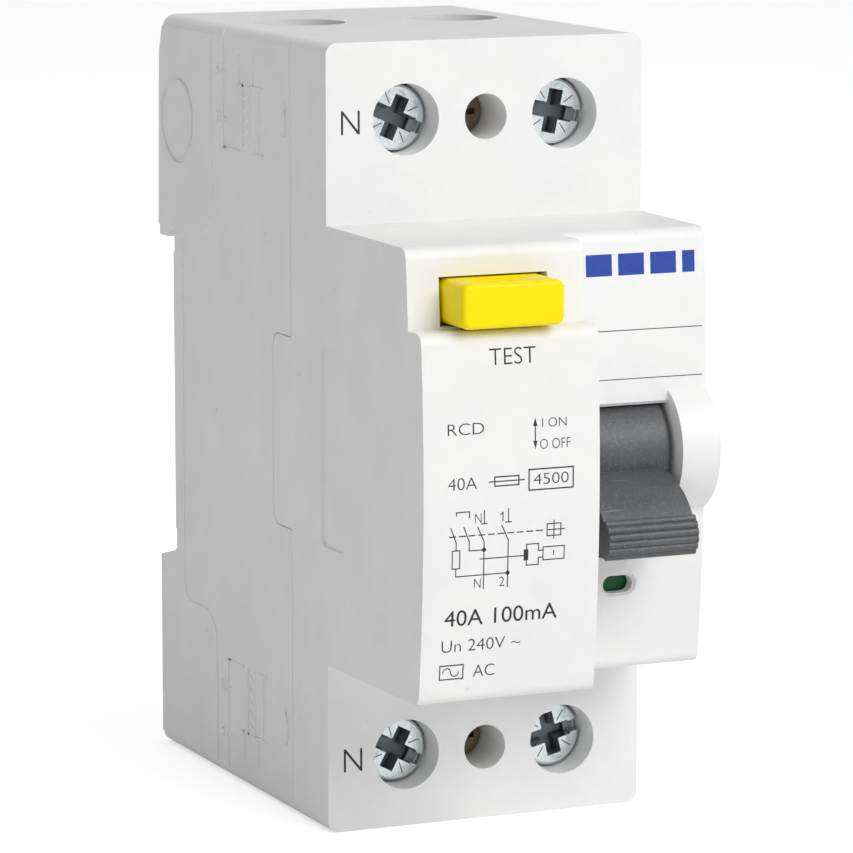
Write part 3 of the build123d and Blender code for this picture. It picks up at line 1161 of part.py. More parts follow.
with BuildPart() as board_components:
    for x, radius, height in ((-12.9, 1.5, 3.0), (-9.2, 1.5, 3.0), (-5.6, 1.1, 2.4)):
        with BuildSketch(level_plane(BOARD_TOP_Z)):
            with Locations((x, BOARD_FRONT_Y + 1.9)):
                Circle(radius)
        extrude(amount=height)
    for x in (-12.0, -8.0):
        add(bar_between((x - 1.6, RELAY_REAR_Y - 9, BOARD_TOP_Z), (x + 1.6, RELAY_REAR_Y - 6.6, BOARD_TOP_Z + 1.6)))
keep(board_components.part, "board_components")

# ============================================================== indicator flag
with BuildPart() as indicator_flag:
    with BuildSketch(side_plane(FLAG_X - FLAG_WIDTH / 2)):
        with Locations((FLAG_PIVOT_Y, FLAG_Z)):
            Circle(FLAG_R)
            Circle(FLAG_R - 0.9, mode=Mode.SUBTRACT)
        with BuildLine():
            Polyline((FLAG_PIVOT_Y, FLAG_Z), (FLAG_PIVOT_Y - 8, FLAG_Z - 4.2),
                     (FLAG_PIVOT_Y - 8, FLAG_Z + 16), (FLAG_PIVOT_Y, FLAG_Z + 16), close=True)
        make_face(mode=Mode.INTERSECT)
        with Locations((FLAG_PIVOT_Y, FLAG_Z)):
            Circle(1.5)
        with BuildLine():
            Polyline((FLAG_PIVOT_Y - 1.0, FLAG_Z - 0.8), (FLAG_PIVOT_Y - FLAG_R + 0.4, FLAG_Z - 0.8),
                     (FLAG_PIVOT_Y - FLAG_R + 0.4, FLAG_Z + 0.8), (FLAG_PIVOT_Y - 1.0, FLAG_Z + 0.8), close=True)
        make_face()
    extrude(amount=FLAG_WIDTH)
    with BuildSketch(side_plane(FLAG_X - FLAG_WIDTH / 2 - PART_GAP - 1.0)):
        with Locations((FLAG_PIVOT_Y, FLAG_Z)):
            Circle(PIN_R)
    extrude(amount=FLAG_WIDTH + 2 * PART_GAP + 2.0)
keep(indicator_flag.part, "indicator_flag")

# ================================================================ test circuit
FLANGE_FRONT_Y = UPPER_FACE_Y + WALL + 0.9 + PART_GAP
FLANGE_BACK_Y = FLANGE_FRONT_Y + 1.2
STEM_END_Y = GUIDE_Y + GUIDE_THICKNESS + 1.0
with BuildPart() as test_button:
    with BuildSketch(front_plane(FLANGE_BACK_Y)):
        with Locations((BUTTON_X, BUTTON_Z)):
            RectangleRounded(BUTTON_WIDTH, BUTTON_HEIGHT, 0.9)
    extrude(amount=FLANGE_BACK_Y - BUTTON_FRONT_Y)
    fillet(test_button.faces().sort_by(Axis.Y)[0].edges(), 0.55)
    # finger dish along the top
    with BuildSketch(front_plane(UPPER_FACE_Y)):
        with Locations((BUTTON_X, BUTTON_Z + BUTTON_HEIGHT / 2 + 16.0)):
            Circle(16.45)
    extrude(amount=UPPER_FACE_Y - BUTTON_FRONT_Y - 0.9, mode=Mode.SUBTRACT)
    with BuildSketch(front_plane(FLANGE_BACK_Y)):
        with Locations((BUTTON_X, BUTTON_Z)):
            RectangleRounded(BUTTON_WIDTH + 2 * BUTTON_FLANGE, BUTTON_HEIGHT + BUTTON_FLANGE, 0.9)
    extrude(amount=FLANGE_BACK_Y - FLANGE_FRONT_Y)
    with BuildSketch(front_plane(STEM_END_Y)):
        with Locations((BUTTON_X, BUTTON_Z)):
            Circle(STEM_R)
    extrude(amount=STEM_END_Y - FLANGE_BACK_Y)
keep(test_button.part, "test_button")

test_button_spring = coil((BUTTON_X, FLANGE_BACK_Y + 0.35, BUTTON_Z), (0, 1, 0), STEM_R + 0.75, 0.28, 1.1,
                          GUIDE_Y - FLANGE_BACK_Y - 0.7)
keep(test_button_spring, "test_button_spring")

BLADE_Y = STEM_END_Y + PART_GAP
BLADE_THICKNESS = 0.4
BLADE_PIVOT_Z = BUTTON_Z - 8.2
with BuildPart() as test_contact_blade:
    add(bar_between((BUTTON_X - 1.5, BLADE_Y, BLADE_PIVOT_Z), (BUTTON_X + 1.5, BLADE_Y + BLADE_THICKNESS,
                                                             BUTTON_Z + 1.8)))
keep(test_contact_blade.part, "test_contact_blade")

RESISTOR_Y = BLADE_Y + 3.9
RESISTOR_Z = BUTTON_Z - 6.0
with BuildPart() as test_resistor:
    with BuildSketch(side_plane(BUTTON_X - 3.2)):
        with Locations((RESISTOR_Y, RESISTOR_Z)):
            Circle(1.3)
    extrude(amount=6.4)
    fillet(test_resistor.edges(), 0.5)
    add(wire([(BUTTON_X - 3.2, RESISTOR_Y, RESISTOR_Z), (BUTTON_X - 5.2, RESISTOR_Y, RESISTOR_Z),
              (BUTTON_X - 5.2, RESISTOR_Y, BUTTON_Z + 1.6), (BUTTON_X + 1.5, RESISTOR_Y, BUTTON_Z + 1.6)],
             0.35, 0.9))
keep(test_resistor.part, "test_resistor")

LEAD_OVER_LATCH = 5.8
LEAD_UNDER_WALL = 0.9
TEST_LEAD_Z = min(LATCH_Z + LEAD_OVER_LATCH, CHUTE_TOP_Z - LEAD_UNDER_WALL)
with BuildPart() as test_leads:
    add(wire(
        [
            (BUTTON_X + 3.2, RESISTOR_Y, RESISTOR_Z),
            (BUTTON_X + 6.4, RESISTOR_Y, RESISTOR_Z),
            (BUTTON_X + 9.5, RESISTOR_Y + 8, TEST_LEAD_Z),
            (POLE_X - 1.4, LATCH_Y + 6, TEST_LEAD_Z),
            (POLE_X - 2.4, BAR_FRONT_Y - LEAD_R, CONTACT_Z + 3),
        ],
        LEAD_R, 2.0))
keep(test_leads.part, "test_leads")
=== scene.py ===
"""Looks of the residual current device: finishes, printed legend, moulded marks, light and camera."""

import json
from math import cos, pi, radians, sin

import bmesh
import bpy
from mathutils import Matrix, Vector
from mathutils.bvhtree import BVHTree


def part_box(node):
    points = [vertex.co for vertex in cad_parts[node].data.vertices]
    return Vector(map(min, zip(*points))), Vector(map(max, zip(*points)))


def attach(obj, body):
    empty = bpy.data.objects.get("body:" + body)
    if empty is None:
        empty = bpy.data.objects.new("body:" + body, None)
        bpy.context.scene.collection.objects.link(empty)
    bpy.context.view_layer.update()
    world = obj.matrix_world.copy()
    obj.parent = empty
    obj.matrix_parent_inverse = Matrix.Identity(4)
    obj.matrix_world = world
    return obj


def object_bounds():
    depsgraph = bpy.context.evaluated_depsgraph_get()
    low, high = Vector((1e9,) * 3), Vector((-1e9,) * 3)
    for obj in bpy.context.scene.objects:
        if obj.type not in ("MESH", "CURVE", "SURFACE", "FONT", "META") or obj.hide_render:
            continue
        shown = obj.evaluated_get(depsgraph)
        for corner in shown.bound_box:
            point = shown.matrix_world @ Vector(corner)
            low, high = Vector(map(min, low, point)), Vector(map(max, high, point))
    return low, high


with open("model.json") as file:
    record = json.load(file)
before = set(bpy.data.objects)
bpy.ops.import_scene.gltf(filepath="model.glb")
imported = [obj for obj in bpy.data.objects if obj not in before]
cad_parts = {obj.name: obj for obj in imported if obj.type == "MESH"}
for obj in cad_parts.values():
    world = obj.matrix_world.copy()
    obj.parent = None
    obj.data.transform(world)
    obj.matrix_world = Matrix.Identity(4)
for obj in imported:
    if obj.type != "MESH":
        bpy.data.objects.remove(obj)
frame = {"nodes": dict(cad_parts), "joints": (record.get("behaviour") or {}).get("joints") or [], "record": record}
cad_low, cad_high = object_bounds()
NODES = frame["nodes"]
HINGE_PLACES = {joint["child"]: joint["pos_m"] for joint in frame["joints"] if joint["type"] == "hinge"}
SCREW_FACE_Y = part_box("terminal_screw_supply_n")[0].y
MM = 0.001

# Each mask is 0 at the first value and 1 at the second, in millimetres.
FLAG_BAND_HEIGHT = (-12.16, -12.08)
# The recess constants set where a terminal screw's driver recess gets painted shade: by depth under its face, and
# inside its rim.
RECESS_SHADE_DEEPENS = (0.2, 1.7)
RECESS_SHADE_ENDS = (3.4, 3.0)
RECESS_SHADE_RIM = (3.3, 3.2)
# The tick constants set where dark lines of painted shade are drawn for the ticks between a screw's cross arms.
TICK_EDGE = (0.13, 0.06)
TICK_STARTS = (1.5, 1.6)
TICK_ENDS = (2.9, 2.7)

# Marks are cut about this often, in millimetres, so that they follow the wall.
MARK_STEP = 0.8
# Rays towards the wall start this far in front of the page, in metres.
RAY_RUN_UP = 0.2


# ------------------------------------------------------------ node helpers
class Wiring:
    """Adds and joins nodes in one node tree."""

    def __init__(self, tree):
        self.tree = tree

    def add(self, kind, values=None, **settings):
        node = self.tree.nodes.new(kind)
        for name, value in settings.items():
            setattr(node, name, value)
        for name, value in (values or {}).items():
            self.feed(value, node.inputs[name])
        return node

    def feed(self, value, socket):
        if isinstance(value, bpy.types.NodeSocket):
            self.tree.links.new(value, socket)
        else:
            socket.default_value = value

    def maths(self, operation, first, second=0.0, clamp=False):
        node = self.add("ShaderNodeMath", {0: first, 1: second}, operation=operation, use_clamp=clamp)
        return node.outputs[0]

    def remap(self, value, low, high, to_low=0.0, to_high=1.0):
        node = self.add("ShaderNodeMapRange", {
            "Value": value, "From Min": low, "From Max": high, "To Min": to_low, "To Max": to_high})
        return node.outputs[0]

    def fade(self, value, zero_mm, one_mm):
        """A mask that is 0 at zero_mm and 1 at one_mm, for a value in metres."""
        return self.remap(value, zero_mm * MM, one_mm * MM)

    def place(self):
        """The place on the piece, in metres."""
        return self.add("ShaderNodeTexCoord").outputs["Object"]

    def along(self, vector, axis):
        return self.add("ShaderNodeSeparateXYZ", {0: vector}).outputs[axis]

    def blend(self, amount, first, second):
        node = self.add("ShaderNodeMix", {0: amount}, data_type="RGBA")
        self.feed(first, node.inputs[6])
        self.feed(second, node.inputs[7])
        return node.outputs[2]

    def noise(self, place, size_mm, detail=2.0, roughness=0.5):
        """Noise whose lumps are about size_mm across."""
        return self.add("ShaderNodeTexNoise", {
            "Vector": place, "Scale": 1000.0 / size_mm, "Detail": detail, "Roughness": roughness}).outputs[0]


def effect_group(name, inputs, outputs):
    tree = bpy.data.node_groups.new(name, "ShaderNodeTree")
    for label, kind, default in inputs:
        socket = tree.interface.new_socket(label, in_out="INPUT", socket_type=kind)
        if default is not None:
            socket.default_value = default
    for label, kind in outputs:
        tree.interface.new_socket(label, in_out="OUTPUT", socket_type=kind)
    wiring = Wiring(tree)
    return tree, wiring, wiring.add("NodeGroupInput"), wiring.add("NodeGroupOutput")


NUMBER = "NodeSocketFloat"


def moulded_grain():
    """Spark-eroded mould skin: fine pits over a slow drift, and scattered specks."""
    tree, w, given, result = effect_group(
        "moulded_grain",
        [("Grain Size", NUMBER, 0.14), ("Drift Size", NUMBER, 9.0)],
        [("Height", NUMBER), ("Drift", NUMBER), ("Specks", NUMBER)])
    place = w.place()
    fine_scale = w.maths("DIVIDE", 1000.0, given.outputs["Grain Size"])
    fine = w.add("ShaderNodeTexNoise", {"Vector": place, "Scale": fine_scale, "Detail": 3.0,
                                        "Roughness": 0.55}).outputs[0]
    mid = w.add("ShaderNodeTexNoise", {"Vector": place, "Scale": w.maths("MULTIPLY", fine_scale, 0.38),
                                       "Detail": 2.0}).outputs[0]
    drift = w.add("ShaderNodeTexNoise", {
        "Vector": place, "Scale": w.maths("DIVIDE", 1000.0, given.outputs["Drift Size"]),
        "Detail": 3.0, "Roughness": 0.6}).outputs[0]
    speck = w.add("ShaderNodeTexVoronoi", {"Vector": place, "Scale": w.maths("MULTIPLY", fine_scale, 0.09)})
    near = w.remap(speck.outputs["Distance"], 0.0, 0.12, 1.0, 0.0)
    lucky = w.remap(w.noise(place, 2.6), 0.63, 0.68)
    w.feed(w.maths("ADD", w.maths("MULTIPLY", fine, 0.6), w.maths("MULTIPLY", mid, 0.4)),
           result.inputs["Height"])
    w.feed(w.remap(drift, 0.3, 0.7), result.inputs["Drift"])
    w.feed(w.maths("MULTIPLY", near, lucky), result.inputs["Specks"])
    return tree


def edge_wear_and_highlight():
    """Mask of the corners that hands and boxes rub and that are lightened as painted edge highlight, broken up by
    noise.
    """
    tree, w, given, result = effect_group(
        "edge_wear_and_highlight", [("Radius", NUMBER, 0.00025), ("Patch Size", NUMBER, 1.5)], [("Mask", NUMBER)])
    soft = w.add("ShaderNodeBevel", {"Radius": given.outputs["Radius"]}, samples=4).outputs[0]
    flat = w.add("ShaderNodeNewGeometry").outputs["Normal"]
    dot = w.add("ShaderNodeVectorMath", {0: soft, 1: flat}, operation="DOT_PRODUCT").outputs["Value"]
    corner = w.remap(dot, 0.97, 0.80)
    place = w.place()
    patch = w.add("ShaderNodeTexNoise", {
        "Vector": place, "Scale": w.maths("DIVIDE", 1000.0, given.outputs["Patch Size"]),
        "Detail": 4.0, "Roughness": 0.65}).outputs[0]
    w.feed(w.maths("MULTIPLY", corner, w.remap(patch, 0.38, 0.62)), result.inputs["Mask"])
    return tree


def hairline_scratches():
    """Sparse thin scratches in two directions."""
    tree, w, given, result = effect_group(
        "hairline_scratches", [("Amount", NUMBER, 0.5)], [("Mask", NUMBER)])
    place = w.place()
    total = None
    for turn, stretch in ((0.5, 0.07), (-0.9, 0.05)):
        turned = w.add("ShaderNodeMapping", {"Vector": place, "Rotation": (0.2, turn, 0.4),
                                             "Scale": (stretch, 1.0, 1.0)}).outputs[0]
        line = w.remap(w.noise(turned, 0.6, 1.0), 0.715, 0.75)
        total = line if total is None else w.maths("MAXIMUM", total, line)
    sparse = w.remap(w.noise(place, 5.0), 0.5, 0.6)
    scratch = w.maths("MULTIPLY", total, sparse)
    w.feed(w.maths("MULTIPLY", scratch, given.outputs["Amount"]), result.inputs["Mask"])
    return tree


def settled_dust():
    """Thin dust on faces that look up, thicker in patches."""
    tree, w, given, result = effect_group("settled_dust", [("Amount", NUMBER, 0.2)], [("Mask", NUMBER)])
    normal = w.add("ShaderNodeNewGeometry").outputs["Normal"]
    up = w.remap(w.along(normal, "Z"), 0.55, 1.0)
    place = w.place()
    patch = w.remap(w.noise(place, 3.5, 5.0, 0.7), 0.35, 0.75)
    w.feed(w.maths("MULTIPLY", w.maths("MULTIPLY", up, patch), given.outputs["Amount"]),
           result.inputs["Mask"])
    return tree


GRAIN, WEAR_AND_HIGHLIGHT, SCRATCHES, DUST = moulded_grain(), edge_wear_and_highlight(), hairline_scratches(), settled_dust()


def rgb(red, green, blue):
    """A linear colour from display values of 0 to 255."""
    def linear(value):
        value /= 255
        return value / 12.92 if value <= 0.04045 else ((value + 0.055) / 1.055) ** 2.4
    return (linear(red), linear(green), linear(blue), 1.0)


class Finish:
    """A material with its shader, and the wiring to dress it."""

    def __init__(self, name):
        self.material = bpy.data.materials.new(name)
        self.material.use_nodes = True
        self.wiring = Wiring(self.material.node_tree)
        self.shader = self.material.node_tree.nodes["Principled BSDF"]

    def set(self, **sockets):
        for name, value in sockets.items():
            self.wiring.feed(value, self.shader.inputs[name.replace("_", " ")])

    def effect(self, tree, **values):
        node = self.wiring.add("ShaderNodeGroup", node_tree=tree)
        for name, value in values.items():
            self.wiring.feed(value, node.inputs[name.replace("_", " ")])
        return node.outputs

    def bump(self, height, strength, depth_mm):
        bump = self.wiring.add("ShaderNodeBump", {
            "Height": height, "Strength": strength, "Distance": depth_mm * MM})
        self.wiring.feed(bump.outputs[0], self.shader.inputs["Normal"])


def moulded_plastic(name, light, dark, grain_mm, rough, depth_mm, wear_and_highlight_colour=None, speck_colour=None,
                    scratches=0.0, dust=0.15, coat=0.0, strength=0.6, base=None, specular=0.5,
                    mottle=0.0):
    """Moulded plastic: colour drift, mould grain, specks, rubbed corners lightened partly as painted edge
    highlight, scratches and dust.
    """
    finish = Finish(name)
    w = finish.wiring
    grain = finish.effect(GRAIN, Grain_Size=grain_mm)
    wear_and_highlight = finish.effect(WEAR_AND_HIGHLIGHT)["Mask"]
    colour = base(w, grain) if base else w.blend(grain["Drift"], light, dark)
    if speck_colour:
        colour = w.blend(w.maths("MULTIPLY", grain["Specks"], 0.8), colour, speck_colour)
    if mottle:
        peaks = w.remap(grain["Height"], 0.52, 0.68)
        colour = w.blend(w.maths("MULTIPLY", peaks, mottle), colour, wear_and_highlight_colour)
    rough_now = w.maths("ADD", w.remap(grain["Drift"], 0, 1, rough - 0.05, rough + 0.05),
                        w.maths("MULTIPLY", grain["Height"], 0.06))
    if wear_and_highlight_colour:
        # Corners shift to a lighter colour: partly rubbed wear, partly painted edge highlight.
        colour = w.blend(w.maths("MULTIPLY", wear_and_highlight, 0.5), colour, wear_and_highlight_colour)
        rough_now = w.maths("SUBTRACT", rough_now, w.maths("MULTIPLY", wear_and_highlight, 0.14))
    height = grain["Height"]
    if scratches:
        mark = finish.effect(SCRATCHES, Amount=scratches)["Mask"]
        colour = w.blend(mark, colour, wear_and_highlight_colour or light)
        height = w.maths("SUBTRACT", height, w.maths("MULTIPLY", mark, 0.8))
    if dust:
        film = finish.effect(DUST, Amount=dust)["Mask"]
        colour = w.blend(film, colour, rgb(196, 190, 180))
        rough_now = w.maths("ADD", rough_now, w.maths("MULTIPLY", film, 0.5), clamp=True)
    finish.set(Base_Color=colour, Roughness=rough_now, Specular_IOR_Level=specular, Coat_Weight=coat,
          Coat_Roughness=0.16)
    finish.bump(height, strength, depth_mm)
    return finish.material


def recess_and_tick_shade(w, across, up, deep, radius, turn):
    """Masks of the painted shade in the recess under the screw's face, and of the ticks between its arms, which
    are drawn as lines of painted shade.
    """
    c, s = cos(radians(turn)), sin(radians(turn))
    along = w.maths("ABSOLUTE", w.maths(
        "ADD", w.maths("MULTIPLY", across, c), w.maths("MULTIPLY", up, s)))
    aside = w.maths("ABSOLUTE", w.maths(
        "SUBTRACT", w.maths("MULTIPLY", up, c), w.maths("MULTIPLY", across, s)))
    below = w.maths("SUBTRACT", deep, SCREW_FACE_Y)
    sunk = w.maths("MULTIPLY", w.fade(below, *RECESS_SHADE_DEEPENS), w.fade(below, *RECESS_SHADE_ENDS))
    recess_shade = w.maths("MULTIPLY", sunk, w.fade(radius, *RECESS_SHADE_RIM))
    off_line = w.maths("ABSOLUTE", w.maths("SUBTRACT", along, aside))
    ring = w.maths("MULTIPLY", w.fade(radius, *TICK_STARTS), w.fade(radius, *TICK_ENDS))
    tick_shade = w.maths("MULTIPLY", w.fade(off_line, *TICK_EDGE), ring)
    return recess_shade, tick_shade


def bare_metal(name, bright, dull, rough, brush=(1, 1, 1), brush_mm=0.12, stain=None, depth_mm=0.02,
               centre=None, turn=0.0):
    """Plated or rolled metal: brush lines, patches of tarnish, and rubbed corners brightened partly as painted
    edge highlight.

    centre is the x and z of a screw's axis in metres, and turn how far its cross leans, in degrees. With a centre,
    the screw's driver recess and the ticks between its arms are darkened as painted shade.
    """
    finish = Finish(name)
    w = finish.wiring
    place = w.place()
    lines_at = w.add("ShaderNodeMapping", {"Vector": place, "Scale": brush}).outputs[0]
    if centre:
        # turned marks run round the middle of the screw
        shifted = w.add("ShaderNodeMapping", {
            "Vector": place, "Location": (-centre[0], 0.0, -centre[1])}).outputs[0]
        split = w.add("ShaderNodeSeparateXYZ", {0: shifted})
        across, up = split.outputs["X"], split.outputs["Z"]
        radius = w.maths("SQRT", w.maths("ADD", w.maths("MULTIPLY", across, across),
                                         w.maths("MULTIPLY", up, up)))
        lines_at = w.add("ShaderNodeCombineXYZ", {"X": radius, "Y": split.outputs["Y"]}).outputs[0]
    lines = w.noise(lines_at, brush_mm, 3.0, 0.6)
    patch = w.remap(w.noise(place, 1.8, 4.0, 0.65), 0.35, 0.7)
    wear_and_highlight = finish.effect(WEAR_AND_HIGHLIGHT, Radius=0.00015)["Mask"]
    colour = w.blend(patch, bright, dull)
    if stain:
        spot = w.remap(w.noise(place, 0.9, 3.0, 0.7), 0.58, 0.70)
        colour = w.blend(w.maths("MULTIPLY", spot, 0.45), colour, stain)
    # Corners brighten: partly rubbed wear, partly painted edge highlight.
    colour = w.blend(wear_and_highlight, colour, bright)
    rough_now = w.maths("ADD", w.remap(lines, 0.3, 0.7, rough - 0.06, rough + 0.08),
                        w.maths("MULTIPLY", patch, 0.08), clamp=True)
    if centre:
        recess_shade, tick_shade = recess_and_tick_shade(w, across, up, split.outputs["Y"], radius, turn)
        # Painted shade: the driver recess is darkened by its depth under the face, and the ticks are painted as
        # dark lines.
        colour = w.blend(w.maths("MULTIPLY", recess_shade, 0.9), colour, rgb(88, 94, 97))
        colour = w.blend(w.maths("MULTIPLY", tick_shade, 0.85), colour, rgb(70, 78, 80))
        rough_now = w.maths("ADD", rough_now, w.maths("MULTIPLY", recess_shade, 0.2), clamp=True)
    finish.set(Base_Color=colour, Roughness=rough_now, Metallic=1.0)
    finish.bump(lines, 0.5, depth_mm)
    return finish.material


# --------------------------------------------------------------- finishes
WHITE_LIGHT, WHITE_DARK = rgb(243, 243, 242), rgb(237, 237, 237)
FLAG_GREEN = (rgb(0, 118, 62), rgb(2, 92, 50))


def case_white():
    return moulded_plastic(
        "case_white", WHITE_LIGHT, WHITE_DARK, grain_mm=0.2, rough=0.44, depth_mm=0.045,
        wear_and_highlight_colour=rgb(250, 250, 250), speck_colour=rgb(205, 202, 196), dust=0.06)


def flag_colours(w, grain):
    """Green drum with a red band above, seen once the flag has turned down."""
    height = w.along(w.place(), "Z")
    band = w.fade(height, *FLAG_BAND_HEIGHT)
    green = w.blend(grain["Drift"], *FLAG_GREEN)
    red = w.blend(grain["Drift"], rgb(200, 28, 24), rgb(172, 20, 20))
    return w.blend(band, green, red)


def coil_wire(name, bright, dark, wire_mm, axis):
    """Enamelled wire laid turn on turn along an axis of the frame, with painted shade in the grooves between the
    turns.
    """
    finish = Finish(name)
    w = finish.wiring
    place = w.place()
    turns = w.maths("SINE", w.maths("MULTIPLY", w.along(place, axis), 2 * pi / (wire_mm * MM)))
    drift = w.remap(w.noise(place, 1.6, 4.0), 0.3, 0.7)
    colour = w.blend(drift, bright, dark)
    # Painted shade: the grooves between the wire's turns are darkened towards deep brown.
    finish.set(Base_Color=w.blend(w.remap(turns, 0.2, -1.0), colour, rgb(52, 18, 8)),
          Roughness=w.remap(drift, 0, 1, 0.26, 0.4), Coat_Weight=0.5)
    finish.bump(turns, 0.6, 0.06)
    return finish.material


def printed_ink(name, dark, light):
    """Pad-printed ink, a little thin and uneven."""
    finish = Finish(name)
    w = finish.wiring
    place = w.place()
    thin = w.remap(w.noise(place, 0.16, 3.0, 0.6), 0.45, 0.8)
    finish.set(Base_Color=w.blend(thin, dark, light), Roughness=w.remap(thin, 0, 1, 0.42, 0.62))
    finish.bump(thin, 0.3, 0.01)
    return finish.material


def woven_braid(name):
    """Fine copper wires plaited over each other, with painted shade in the gaps between them."""
    finish = Finish(name)
    w = finish.wiring
    place = w.place()
    strands = []
    for lean in (1.0, -1.0):
        split = w.add("ShaderNodeSeparateXYZ", {0: place})
        slope = w.maths("ADD", split.outputs["Z"], w.maths("MULTIPLY", split.outputs["X"], lean))
        strands.append(w.maths("SINE", w.maths("MULTIPLY", slope, 2 * pi / (0.45 * MM))))
    plait = w.maths("MAXIMUM", *strands)
    # Painted shade: the gaps between the strands are painted dark, the crowns copper.
    finish.set(Base_Color=w.blend(w.remap(plait, -0.4, 1), rgb(96, 48, 26), rgb(214, 134, 92)),
          Roughness=w.remap(plait, -1, 1, 0.5, 0.32), Metallic=1.0)
    finish.bump(plait, 0.7, 0.08)
    return finish.material


FINISHES = {
    "casing_white": case_white(),
    "clip_grey": moulded_plastic(
        "clip_grey", rgb(226, 226, 226), rgb(214, 214, 215), grain_mm=0.2, rough=0.42, depth_mm=0.02,
        wear_and_highlight_colour=rgb(240, 240, 240)),
    "handle_charcoal": moulded_plastic(
        "handle_charcoal", rgb(74, 76, 79), rgb(56, 58, 61), grain_mm=0.13, rough=0.37, depth_mm=0.08,
        wear_and_highlight_colour=rgb(128, 130, 136), speck_colour=rgb(150, 152, 158), scratches=0.5, dust=0.05,
        strength=1.0, specular=0.85, mottle=0.55),
    "button_yellow": moulded_plastic(
        "button_yellow", rgb(255, 236, 0), rgb(252, 226, 0), grain_mm=0.3, rough=0.34, depth_mm=0.012,
        wear_and_highlight_colour=rgb(255, 240, 60), dust=0.0, coat=0.08, strength=0.35, specular=0.12),
    "flag_plastic": moulded_plastic(
        "flag_plastic", *FLAG_GREEN, grain_mm=0.12, rough=0.42, depth_mm=0.03,
        dust=0.0, base=flag_colours),
    "black_moulding": moulded_plastic(
        "black_moulding", rgb(34, 34, 36), rgb(24, 24, 26), grain_mm=0.2, rough=0.5, depth_mm=0.04,
        wear_and_highlight_colour=rgb(80, 80, 84), scratches=0.3, dust=0.0),
    "fibre_board": moulded_plastic(
        "fibre_board", rgb(158, 92, 66), rgb(128, 70, 48), grain_mm=0.3, rough=0.7, depth_mm=0.05,
        wear_and_highlight_colour=rgb(190, 130, 100), dust=0.0),
    "board_green": moulded_plastic(
        "board_green", rgb(20, 104, 58), rgb(12, 82, 46), grain_mm=0.5, rough=0.3, depth_mm=0.01,
        wear_and_highlight_colour=rgb(190, 160, 96), dust=0.0, coat=0.3),
    "component_body": moulded_plastic(
        "component_body", rgb(40, 64, 120), rgb(26, 44, 92), grain_mm=0.4, rough=0.34, depth_mm=0.02,
        wear_and_highlight_colour=rgb(120, 140, 180), dust=0.0, coat=0.3),
    "wire_insulation": moulded_plastic(
        "wire_insulation", rgb(186, 32, 28), rgb(158, 22, 22), grain_mm=0.4, rough=0.34, depth_mm=0.01,
        wear_and_highlight_colour=rgb(220, 90, 80), dust=0.0),
    "enamel_wire": coil_wire("enamel_wire", rgb(186, 92, 46), rgb(140, 58, 26), wire_mm=0.22, axis="Y"),
    "copper": bare_metal(
        "copper", rgb(230, 150, 112), rgb(190, 108, 74), rough=0.34, brush=(1, 1, 0.06), brush_mm=0.1,
        stain=rgb(110, 58, 38)),
    "brass": bare_metal(
        "brass", rgb(232, 202, 120), rgb(198, 162, 84), rough=0.3, brush=(1, 0.06, 1), brush_mm=0.1,
        stain=rgb(120, 92, 44)),
    "silver_tip": bare_metal(
        "silver_tip", rgb(236, 236, 232), rgb(204, 204, 200), rough=0.3, brush_mm=0.2,
        stain=rgb(120, 116, 110)),
    "spring_steel": bare_metal(
        "spring_steel", rgb(190, 192, 196), rgb(140, 142, 148), rough=0.32, brush_mm=0.1,
        stain=rgb(88, 84, 82)),
    "core_alloy": bare_metal(
        "core_alloy", rgb(156, 158, 164), rgb(112, 114, 120), rough=0.42, brush=(0.1, 1, 0.1),
        brush_mm=0.08, stain=rgb(80, 72, 66)),
    "zinc_steel": bare_metal(
        "zinc_steel", rgb(224, 228, 230), rgb(186, 192, 196), rough=0.3, brush=(1, 0.08, 1),
        brush_mm=0.14, stain=rgb(126, 130, 132)),
}
BRAID = woven_braid("copper_braid")
INK = printed_ink("ink_black", rgb(30, 30, 32), rgb(74, 74, 76))
BLUE_INK = printed_ink("ink_blue", rgb(24, 62, 158), rgb(44, 84, 182))

SLOT_OF = {part["node"]: part["material_slot"] for part in frame["record"]["subparts"]}
for node_name, node in NODES.items():
    for slot in node.material_slots:
        slot.material = BRAID if node_name.startswith("flexible_braid") else FINISHES[SLOT_OF[node_name]]

# How far each terminal screw's cross leans, in degrees.
SCREW_LEANS = {"supply_n": -24, "supply_l": -12, "load_n": -28, "load_l": 14}
for terminal, lean in SCREW_LEANS.items():
    screw_name = f"terminal_screw_{terminal}"
    middle_x, _, middle_z = HINGE_PLACES[screw_name]
    NODES[screw_name].material_slots[0].material = bare_metal(
        f"zinc_screw_{terminal}", rgb(244, 249, 250), rgb(218, 228, 230), rough=0.22, brush_mm=0.16,
        stain=rgb(150, 162, 160), centre=(middle_x, middle_z), turn=lean)

NODES["cover_screws"].material_slots[0].material = bare_metal(
    "aged_brass", rgb(150, 138, 112), rgb(98, 90, 74), rough=0.38, brush_mm=0.1, stain=rgb(60, 52, 42))


# ----------------------------------------------------- marks on the casing
def surface_of(node_name):
    mesh = NODES[node_name].data
    return BVHTree.FromPolygons([v.co for v in mesh.vertices], [p.vertices for p in mesh.polygons])


COVER, BASE = surface_of("front_cover"), surface_of("rear_base")


